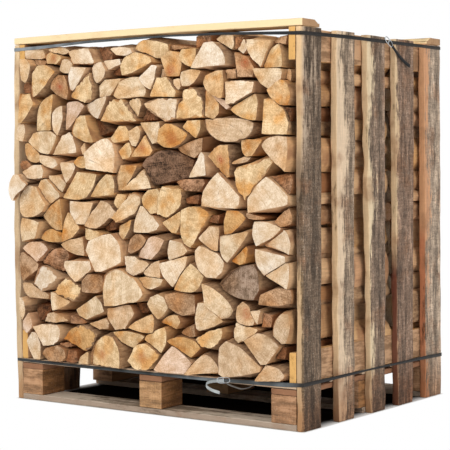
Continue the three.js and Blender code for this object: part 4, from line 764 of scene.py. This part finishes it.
def board_rings(node, axes, seed, wear, ragged, outset, taller, bow, wane):
    """The rings of a rough board in place of a CAD board, rings x points x 3, and each one's share of
    the length. A section is carried along the length: its edges wander inwards by the ragged amount,
    less the outset's share of it, and its corners are worn off by up to the wear amount, both in
    millimetres and both smooth noise of the place along the board. The board's middle bows out by the
    three lengths of bow, as half a sine wave. wane is the number of one of the section's four corners
    and how much of it the round of the tree took off."""
    low, high = (np.array(corner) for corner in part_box(node))
    long_axis, wide_axis, thin_axis = axes
    high[2] += taller * MM
    length = high[long_axis] - low[long_axis]
    rings = max(6, int(length / RING_EVERY))
    t = np.linspace(0, 1, rings)
    lengthwise = low[long_axis] + length * t
    probe = np.stack([lengthwise, np.full(rings, seed * 0.37), np.zeros(rings)], -1)

    def wander(cell, noise):
        """One of the board's own smooth noises along it, in waves about as long as a cell in mm."""
        return drift(probe, cell * MM, seed + noise)

    edges = []
    for (start, end), way, noise in zip(board_edges(node, long_axis, wide_axis), (1, -1), (0, 2)):
        slow = np.abs(wander(120, noise)) + 0.3 * np.abs(wander(35, noise + 1)) - outset
        edges.append(start + (end - start) * t + way * slow * ragged * MM)
    first, second = edges
    if wide_axis == 1:
        first = np.maximum(first, PALLET_FRONT)
    half_thick = (high[thin_axis] - low[thin_axis]) / 2 - 0.2 * MM - 0.5 * MM * np.abs(wander(200, 4))
    worn = np.stack([0.8 + wear * np.abs(wander(60, 5 + k)) for k in range(4)], -1) * MM
    worn[:, wane[0]] += wane[1] * MM * (1 + 0.3 * wander(50, 13))
    section = board_section((second - first) / 2, half_thick, worn)
    grid = np.zeros((rings, section.shape[1], 3))
    grid[..., long_axis] = lengthwise[:, None]
    grid[..., wide_axis] = ((first + second) / 2)[:, None] + section[..., 0]
    grid[..., thin_axis] = (low[thin_axis] + high[thin_axis]) / 2 + section[..., 1]
    grid += np.sin(math.pi * t)[:, None, None] * np.array(bow) * MM
    fuzz = drift(grid, 9 * MM, seed + 9) * 0.25 * MM
    grid[..., thin_axis] -= np.sign(section[..., 1]) * np.abs(fuzz)
    # Both ends are sawn up to 1.2 mm out of true and their rim is knocked off
    rims = []
    for end, way in ((0, 1), (-1, -1)):
        grid[end, :, long_axis] += way * np.abs(drift(grid[end], 14 * MM, seed + 11)) * 1.2 * MM
        middle = grid[end].mean(axis=0)
        rims.append(middle + (grid[end] - middle) * [1 if i == long_axis else 0.97 for i in range(3)])
        grid[end, :, long_axis] += way * 0.8 * MM
    return np.concatenate([rims[0][None], grid, rims[1][None]]), np.concatenate([[0], t, [1]])


def board_looks(grid, shares, axes, seed, tones, aged, bark):
    """What the material reads at every vertex of a board: its tone, the tone that wears through and how
    much of it does. tones are those of the faces, of what wears through on them, of the two edges and of
    the ends. aged says how much more is worn through: all over, towards the second edge, towards the far
    end, and on the edges and ends. Smooth noise over the whole board is added to it. bark is the tone of
    the bark on the edges, and how much of it is left at some shares of the length."""
    face, through, edge, end_tone = (np.array(hex_colour(code)) for code in (*tones, tones[2])[:4])
    is_edge = np.zeros((*grid.shape[:2], 1))
    is_edge[:, POINTS_ON_EDGES] = 1
    is_edge[[0, -1]] = 1
    barked = np.interp(shares, *zip(*bark[1]))[:, None, None]
    edge = np.broadcast_to(edge, (len(grid), 1, 4)).copy()
    edge[[0, -1]] = end_tone
    edge = edge * (1 - barked) + np.array(hex_colour(bark[0])) * barked
    plain = face * (1 - is_edge) + edge * is_edge
    worn_through = through * (1 - is_edge) + edge * [0.85, 0.8, 0.72, 1] * is_edge
    spots = (grid - grid.min(axis=(0, 1))) / np.ptp(grid, axis=(0, 1)) * 2 - 1
    overall, across, along, on_edges = (*aged, -0.22)[:4]
    more = overall + across * spots[..., axes[1]] + along * spots[..., axes[0]]
    more = more * (1 - is_edge[..., 0]) + on_edges * is_edge[..., 0] + drift(grid, 200 * MM, seed + 12) * 0.25
    return {
        "tone": ("FLOAT_COLOR", per_vertex(plain[None], np.stack([end_tone] * 2)[None])),
        "worn": ("FLOAT_COLOR", per_vertex(worn_through[None], worn_through[[0, -1], 0][None])),
        "wear": ("FLOAT", per_vertex(more[None], more[[0, -1], 0][None])),
    }


def sawn_board(kind, node, axes, material, slot, tones, seed, wear, ragged, outset=0.0, taller=0.0,
               bow=(0, 0, 0), aged=(0, 0, 0), wane=(0, 0), bark=("#000000", ((0, 0),))):
    """A rough board in place of a CAD board, with its top raised by taller, in millimetres. axes are the
    indices of its length, width and thickness, and its seed picks its noises. The rest is as
    board_rings and board_looks say."""
    grid, shares = board_rings(node, axes, seed, wear, ragged, outset, taller, bow, wane)
    poles = np.stack([grid[0].mean(axis=0), grid[-1].mean(axis=0)])
    looks = board_looks(grid, shares, axes, seed, tones, aged, bark)
    add_piece(f"{node}_{kind}", tube(grid[None], poles[None]), [material], [node], 40, looks)


# Each slat from the front: its face, what wears through on it and its edges, how far its edges wander
# and how far they are worn off, how much higher than the solid it reaches, in millimetres, and how
# much more of it is worn through all over, towards its back edge and towards its top
SLATS = [
    (("#AF9A84", "#75614F", "#E0BC8F"), 3.0, 4.0, 0, (0.34, 0.05, -0.17)),
    (("#D9BFA1", "#A68F78", "#E0C29A"), 5.0, 4.0, 1, (0.07, 0.45, -0.08)),
    (("#DCC5A2", "#8C7562", "#DCC29C"), 6.0, 7.0, 2, (0.3, 0.5, -0.06)),
    (("#D2B590", "#8C715E", "#D8BD98"), 5.0, 5.0, 2.5, (0.44, 0.5, -0.04)),
    (("#C8946E", "#B7A18B", "#CF9E76"), 3.0, 3.0, 0, (0.3, 0.5, 0)),
]
# What some slats have of their own: tones, a bow to the outside, wane and the bark along their edges,
# which is a tone and how much of it shows at some shares of the height
OWN_TO_SLAT = {
    "slat_right_1": {"wane": (1, 5), "bark": ("#75614F", (
        (0, 0.25), (0.15, 0.4), (0.37, 0.3), (0.43, 1), (0.66, 0.9), (0.73, 0.3), (0.82, 0.3), (0.88, 0),
        (1, 0)))},
    "slat_right_2": {"bark": ("#8A6A50", ((0, 0.9), (0.1, 0.6), (0.2, 0), (1, 0)))},
    "slat_right_3": {"bark": ("#8A6A50", ((0, 0.5), (0.12, 0.2), (0.2, 0), (1, 0)))},
    "slat_right_4": {"bark": ("#6B3B2B", ((0, 0.9), (0.36, 1), (0.46, 0), (1, 0)))},
    "slat_right_5": {"bark": ("#B05F3C", ((0, 0.2), (0.2, 0.7), (0.45, 0.6), (0.5, 0), (1, 0)))},
    "slat_left_1": {"tones": ("#E3C8A4", "#A88C70", "#DFC29A"), "aged": (-0.3, 0.05, 0), "bow": (-9, 0, 0),
                    "bark": ("#A88C70", ((0, 0.25), (0.3, 0.35), (0.7, 0.3), (0.8, 0), (1, 0)))},
}


def build_walls():
    """Five upright slats and two rails on each side."""
    slat_wood = sawn_board_material("weathered_spruce_slat", 2, contrast=1.1, splashed=0.8)
    rail_wood = sawn_board_material("rough_sawn_pine_rail", 1, contrast=0.25)
    rail_tones = ("#C49C78", "#9C7858", "#DDAE74", "#D9A864")
    for side, seed in (("right", 100), ("left", 300)):
        for i, (tones, ragged, wear, taller, aged) in enumerate(SLATS):
            node = f"slat_{side}_{i + 1}"
            look = {"tones": tones, "aged": aged, **OWN_TO_SLAT.get(node, {})}
            sawn_board("board", node, (2, 1, 0), slat_wood, "slat_wood", seed=seed + 20 * i, wear=wear,
                       ragged=ragged, outset=0.4, taller=taller, **look)
        for j, level in enumerate(("low", "top")):
            sawn_board("board", f"rail_{side}_{level}", (1, 2, 0), rail_wood, "rail_wood", rail_tones,
                       seed + 150 + 20 * j, 1.5, 1.0)


def build_pallet():
    """Bottom boards with three blocks on each, stringers across them and deck boards on top."""
    lengthwise = sawn_board_material("pallet_spruce_along_x", 0, contrast=0.75)
    crosswise = sawn_board_material("pallet_spruce_along_y", 1, contrast=0.7)
    block_wood = sawn_board_material("pallet_block_spruce", 0, 1, contrast=0.7)
    sides = (("left", "#C0946F"), ("centre", "#C3996F"), ("right", "#B68B69"))
    for i, place in enumerate(("front", "middle", "back")):
        sawn_board("plank", f"bottom_board_{place}", (0, 1, 2), lengthwise, "pallet_wood",
                   ("#D6C4AF", "#AC967E", "#A28E7C"), 500 + 20 * i, 2.5, 2.0)
        for j, (side, end_tone) in enumerate(sides):
            # Painted shade: the blocks' sides get a darker, browner tone than their fronts
            sawn_board("cube", f"block_{place}_{side}", (1, 0, 2), block_wood, "pallet_wood",
                       ("#B98E68", "#94694A", "#9A6D44", end_tone), 600 + 60 * i + 20 * j, 2.0, 1.0,
                       aged=(0, 0, 0, 0.05))
    for j, (side, _) in enumerate(sides):
        sawn_board("plank", f"stringer_{side}", (1, 0, 2), crosswise, "pallet_wood",
                   ("#94694C", "#6B4A35", "#94694C"), 800 + 20 * j, 2.0, 1.0)
    for i in range(5):
        sawn_board("plank", f"deck_board_{i + 1}", (0, 1, 2), lengthwise, "pallet_wood",
                   ("#B9A188", "#7E6955", "#C9AE92"), 900 + 20 * i, 2.0, 1.5)


def build_beams():
    """A flat beam across the top at the front and at the back, each with one waned corner."""
    beam_wood = sawn_board_material("fresh_sawn_spruce_beam", 0, contrast=0.2)
    for place, seed, rise, corner in (("front", 1100, 3.5, 0), ("back", 1130, 0, 1)):
        sawn_board("board", f"beam_{place}", (0, 1, 2), beam_wood, "beam_wood",
                   ("#F2D8A8", "#E6C796", "#F1D7A9", "#AC8764"), seed, 3.0, 1.0, bow=(0, 0, rise),
                   aged=(-0.12, 0, 0.2), wane=(corner, 19))


# Straps and buckles

STRAP_THICK = 0.9 * MM
WIRE_THICK = 2.8 * MM
# From the middle to the slats' outer faces and to the crate's front, in millimetres
HALF_LONG = 522
HALF_DEEP = 400


def directions(path, closed):
    """Which way a path runs at each of its points: from the point before to the point after."""
    ahead = np.roll(path, -1, axis=0) - np.roll(path, 1, axis=0)
    if not closed:
        ahead[0], ahead[-1] = path[1] - path[0], path[-1] - path[-2]
    return ahead


def swept_band(path, across, half_wide, closed):
    """Rings of a flat band: at each point of the path, eight points of a rectangle with clipped corners,
    which lies half_wide either way along across and half as thick as a strap along the path's normal."""
    normal = np.cross(directions(path, closed), across)
    normal /= np.linalg.norm(normal, axis=1)[:, None]
    wide = np.array([-1, -0.93, 0.93, 1, 1, 0.93, -0.93, -1])[:, None]
    thick = np.array([-0.4, -1, -1, -0.4, 0.4, 1, 1, 0.4])[:, None]
    return (path[:, None] + across[:, None] * wide * np.reshape(half_wide, (-1, 1, 1))
            + normal[:, None] * thick * STRAP_THICK / 2)


def smooth_path(points, count):
    """A curve through a few points: between each two, a Catmull-Rom cubic of their neighbours."""
    points = np.array(points, float) * MM
    ends = np.concatenate([[2 * points[0] - points[1]], points, [2 * points[-1] - points[-2]]])
    t = np.linspace(0, len(points) - 1, count)
    i = np.minimum(t.astype(int), len(points) - 2)
    u = (t - i)[:, None]
    a, b, c, d = (ends[i + k] for k in range(4))
    return 0.5 * (2 * b + (c - a) * u + (2 * a - 5 * b + 4 * c - d) * u ** 2
                  + (3 * b - a - 3 * c + d) * u ** 3)


def band_round_crate(back, front, side):
    """A band that follows the crate's outline, a rectangle with corners rounded by 4 mm, and its values
    from along_crate, one row for each ring. It lies 0.8 mm outside the slats' ends and faces."""
    outset, radius = 0.8, 4.0
    half_x, near, far = HALF_LONG + outset, -HALF_DEEP - outset, back + outset
    corners = [(half_x, near, -90), (half_x, far, 0), (-half_x, far, 90), (-half_x, near, 180)]
    points = []
    for (x, y, angle), (nx, ny, _) in zip(corners, corners[1:] + corners[:1]):
        turn = np.radians(angle + np.linspace(0, 90, 5))
        cx, cy = x - math.copysign(radius, x), y - math.copysign(radius, y)
        arc = np.stack([cx + radius * np.cos(turn), cy + radius * np.sin(turn)], -1)
        arrive = np.array([nx - math.copysign(radius, nx) * (nx != x),
                           ny - math.copysign(radius, ny) * (ny != y)])
        points += [arc, arc[-1] + (arrive - arc[-1]) * np.linspace(0, 1, 42)[1:-1, None]]
    flat = np.concatenate(points)
    values = along_crate(flat, front, side)
    path = np.concatenate([flat, values[:, :1]], -1) * MM
    across = np.broadcast_to([0.0, 0.0, 1.0], path.shape)
    return swept_band(path, across, values[:, 1] * MM / 2, True), values


def along_crate(flat, front, side):
    """Heights, widths and tones that are given at a few places along the front and the right-hand side,
    with even change between them and round the rest, as one row for each x and y in millimetres."""
    front, side = (np.array([(*numbers, *hex_colour(tone)) for *numbers, tone in places])
                   for places in (front, side))
    x, y = flat.T
    on_side, on_front = x > HALF_LONG - 5, y < 5 - HALF_DEEP
    columns = []
    for k in range(1, front.shape[1]):
        values = np.interp(y, [-HALF_DEEP, HALF_DEEP], [front[0, k], side[-1, k]])
        values = np.where(on_side, np.interp(y, side[:, 0], side[:, k]), values)
        columns.append(np.where(on_front, np.interp(x, front[:, 0], front[:, k]), values))
    return np.stack(columns, -1)


def open_band(points, across, width, count=40):
    """A loose end of strap along a smooth curve through points, closed at both ends."""
    path = smooth_path(points, count)
    across = np.broadcast_to(np.array(across, float) / np.linalg.norm(across), path.shape)
    grid = swept_band(path, across, np.full(count, width * MM / 2), False)
    return tube(grid[None], path[None, [0, -1]])


def loop_of_wire(centre, along, across, length, height):
    """A wire bent to a rounded loop with a bar across its middle, as two tubes of ten points round. The
    loop is an oval with flattened sides: both of its half sizes times a cosine or sine to the power 0.6."""
    centre, along, across = (np.array(v, float) for v in (centre, along, across))
    turn = np.linspace(0, 2 * math.pi, 40, endpoint=False)
    sweep = np.stack([np.cos(turn), np.sin(turn)], -1)
    sweep = np.sign(sweep) * np.abs(sweep) ** 0.6
    half_sizes = np.stack([along * (length - WIRE_THICK) / 2, across * (height - WIRE_THICK) / 2])
    loop = centre + sweep @ half_sizes
    bar = centre + across * np.linspace(-0.5, 0.5, 12)[:, None] * (height - WIRE_THICK * 0.8)
    around = np.linspace(0, 2 * math.pi, 10, endpoint=False)[:, None]
    out = np.cross(along, across)
    grids = []
    for path, closed in ((loop, True), (bar, False)):
        side = np.cross(out, directions(path, closed))
        side /= np.linalg.norm(side, axis=1)[:, None]
        grids.append(path[:, None] + WIRE_THICK / 2 * (side[:, None] * np.cos(around) + out * np.sin(around)))
    return tube(grids[0][None]), tube(grids[1][None], bar[None, [0, -1]])


def joined(parts):
    """One mesh of several tubes, each with its own numbers of rings and points."""
    vertices, faces, start = [], [], 0
    for part_vertices, part_faces in parts:
        vertices.append(part_vertices)
        faces += [[i + start for i in face] for face in part_faces]
        start += len(part_vertices)
    return np.concatenate(vertices), faces


# The straps, in millimetres: x along the front or y along the right-hand side, then the band's middle
# height, its width and its tone there. The tones hold painted highlight and shade: lighter grey where
# the strap turns to the light at the front, near black along the right-hand side, which lies in shade.
LOW_STRAP = (
    [(-522, 120, 8.5, "#3A3B3B"), (-250, 118, 8.5, "#303232"), (0, 117, 8.5, "#3A3D3D"),
     (200, 117.5, 9, "#6A7073"), (330, 120.5, 10.5, "#3E4142"), (457, 123, 12, "#5C6164"),
     (522, 127, 10.5, "#332F2C")],
    [(-400, 127, 10.5, "#1E1915"), (-180, 127.5, 8.5, "#16120F"), (-60, 128, 5.5, "#16120F"),
     (100, 127, 6.5, "#16120F"), (260, 125.5, 10, "#1E1915"), (400, 123, 10.5, "#2A241E")])
TOP_STRAP = (
    [(-522, 1069.5, 10, "#83898D"), (-400, 1072, 9, "#7B8185"), (-228, 1079, 7.5, "#505456"),
     (80, 1080.5, 5.5, "#3C3F40"), (270, 1076.5, 7, "#303234"), (457, 1068, 9, "#26282A"),
     (522, 1065, 10, "#23201D")],
    [(-400, 1065, 10, "#1E1916"), (-183, 1069, 10, "#1A1613"), (388, 1070.5, 9.5, "#2C251F")])
# Loose ends: points along them in millimetres, which way they are wide, how wide and their tone
CURL = ([(262, -402.6, 119), (240, -403.5, 116), (218, -405, 112), (205, -406, 105), (208, -407, 97),
         (226, -406.5, 89), (250, -405, 84)], (0, 0.2, 1), 8.5, "#A5AAAA")
SAG = ([(268, -402.8, 116), (280, -404, 110), (302, -404.5, 104.5), (325, -404.5, 101.5),
        (348, -404, 107), (366, -403.2, 117)], (0, 1, 0.35), 7, "#6E6A66")
HANGING = ([(525.5, 66, 1070), (525.8, 84, 1056), (526.3, 110, 1038), (527.5, 140, 1021),
            (528.5, 166, 1010), (528.8, 180, 1005)], (0, -0.46, -0.89), 10.5, "#0E0C0B")


def build_straps():
    """Two straps round the crate with their loose ends, and the wire buckles that they are tied to."""
    plastic = strap_material()
    for level, back, places, loose in (("low", HALF_DEEP, LOW_STRAP, [CURL, SAG]),
                                       ("top", 388, TOP_STRAP, [HANGING])):
        grid, values = band_round_crate(back, *places)
        parts = [tube(grid[None])] + [open_band(*end[:3]) for end in loose]
        # The band's tones carry its painted highlights and painted shade
        tones = [np.repeat(values[:, 2:], grid.shape[1], axis=0)]
        tones += [np.tile(hex_colour(end[3]), (len(part[0]), 1)) for end, part in zip(loose, parts[1:])]
        add_piece(f"strap_{level}_band", joined(parts), [plastic], [f"strap_{level}"], 50,
                  {"tone": ("FLOAT_COLOR", np.concatenate(tones))})
    steel = wire_material()
    for node, centre, along, across in (
            ("buckle_low", (0.262, -0.4031, 0.120), (0.993, 0, 0.12), (-0.12, 0, 0.993)),
            ("buckle_top", (0.5251, 0.060, 1.070), (0, 0.878, -0.479), (0, 0.479, 0.878))):
        wire = joined(loop_of_wire(centre, along, across, 46 * MM, 18 * MM))
        add_piece(f"{node}_wire", wire, [steel], [node], 50)


# Stage, light and camera

WHITE = (1, 1, 1, 1)


def build_floor():
    """A pale floor that turns white within 8 mm of the pallet. Under the pallet the floor is painted near
    black: a painted shadow, seen through the open pockets."""
    around = np.linspace(0, 2 * math.pi, 64, endpoint=False)
    ring = np.stack([np.cos(around), np.sin(around), np.zeros(64)], -1) * 60
    mesh = bpy.data.meshes.new("floor")
    mesh.from_pydata(ring.tolist(), [], [list(range(64))])
    material, node = new_material("pale_floor")
    off = node("VectorMath", [node("TexCoord").outputs["Object"]], operation="ABSOLUTE")
    # How far a place lies outside two rectangles: the pallet's footprint, and a smaller one under it,
    # within which the floor carries the painted shadow
    shares = []
    for half_long, half_deep, start, end in ((HALF_LONG, HALF_DEEP, 0, 8), (440, 330, 30, 80)):
        beyond = node("VectorMath", (off, (half_long * MM, half_deep * MM, 0)), operation="SUBTRACT")
        outside = node("VectorMath", (beyond, (0, 0, 0)), operation="MAXIMUM")
        distance = node("VectorMath", [outside], operation="LENGTH")
        shares.append(node("MapRange", {"Value": distance, "From Min": start * MM, "From Max": end * MM},
                           interpolation_type="SMOOTHSTEP"))
    far, painted_shadow = shares
    # Painted shadow: near black under the pallet, fading to the pale floor just outside the smaller rectangle
    ground = node("Mix", {"Factor": painted_shadow, "A": hex_colour("#1B1511"), "B": hex_colour("#F6F5F3")},
                  data_type="RGBA")
    matt = node("BsdfDiffuse", {"Color": ground})
    white = node("Emission", {"Color": WHITE, "Strength": 1.0})
    node("OutputMaterial", {"Surface": node("MixShader", (far, matt, white))})
    mesh.materials.append(material)
    floor = bpy.data.objects.new("floor", mesh)
    floor.location.z = -0.5 * MM
    bpy.context.scene.collection.objects.link(floor)


def build_light():
    """A surround that is white to the camera and soft daylight to the rest, and two large lamps."""
    world = bpy.data.worlds.new("surround")
    bpy.context.scene.world = world
    world.use_nodes = True
    world.node_tree.nodes.clear()
    node = functools.partial(add_node, world.node_tree)
    seen = node("Background", {"Color": WHITE, "Strength": 1.0})
    light = node("Background", {"Color": (0.97, 0.985, 1, 1), "Strength": 0.62})
    from_camera = node("LightPath").outputs["Is Camera Ray"]
    node("OutputWorld", {"Surface": node("MixShader", (from_camera, light, seen))})
    for name, place, target, power, colour in (
            ("key", (0.8, -4.6, 3.4), (0, 0, 0.5), 128, (1, 0.985, 0.96)),
            ("fill", (5.2, -1.4, 2.2), (0, 0, 0.6), 75, (1, 0.99, 0.97))):
        lamp = bpy.data.lights.new(name, "AREA")
        lamp.size = 3.0
        lamp.energy = power
        lamp.color = colour
        holder = bpy.data.objects.new(name, lamp)
        holder.location = place
        holder.rotation_euler = (Vector(target) - Vector(place)).to_track_quat("-Z", "Y").to_euler()
        bpy.context.scene.collection.objects.link(holder)


# Where the photo was taken from, in metres and degrees, and its lens for a frame 36 mm wide
CAMERA_PLACE = (2.631, -3.700, 0.725)
CAMERA_YAW = 35.61
CAMERA_PITCH = -2.46
CAMERA_ROLL = -0.28
CAMERA_LENS = 117.74


def build_camera():
    """A camera turned by its yaw about Z, then its pitch up from level, then its roll."""
    data = bpy.data.cameras.new("photo_camera")
    data.lens = CAMERA_LENS
    data.sensor_width = 36
    data.clip_end = 100
    camera = bpy.data.objects.new("photo_camera", data)
    turn = (Matrix.Rotation(math.radians(CAMERA_YAW), 4, "Z")
            @ Matrix.Rotation(math.radians(90 + CAMERA_PITCH), 4, "X")
            @ Matrix.Rotation(math.radians(CAMERA_ROLL), 4, "Z"))
    camera.matrix_world = Matrix.Translation(CAMERA_PLACE) @ turn
    bpy.context.scene.collection.objects.link(camera)
    bpy.context.scene.camera = camera
    bpy.context.scene.view_settings.view_transform = "Standard"


build_camera()
build_floor()
build_light()
build_firewood()
build_walls()
build_pallet()
build_beams()
build_straps()
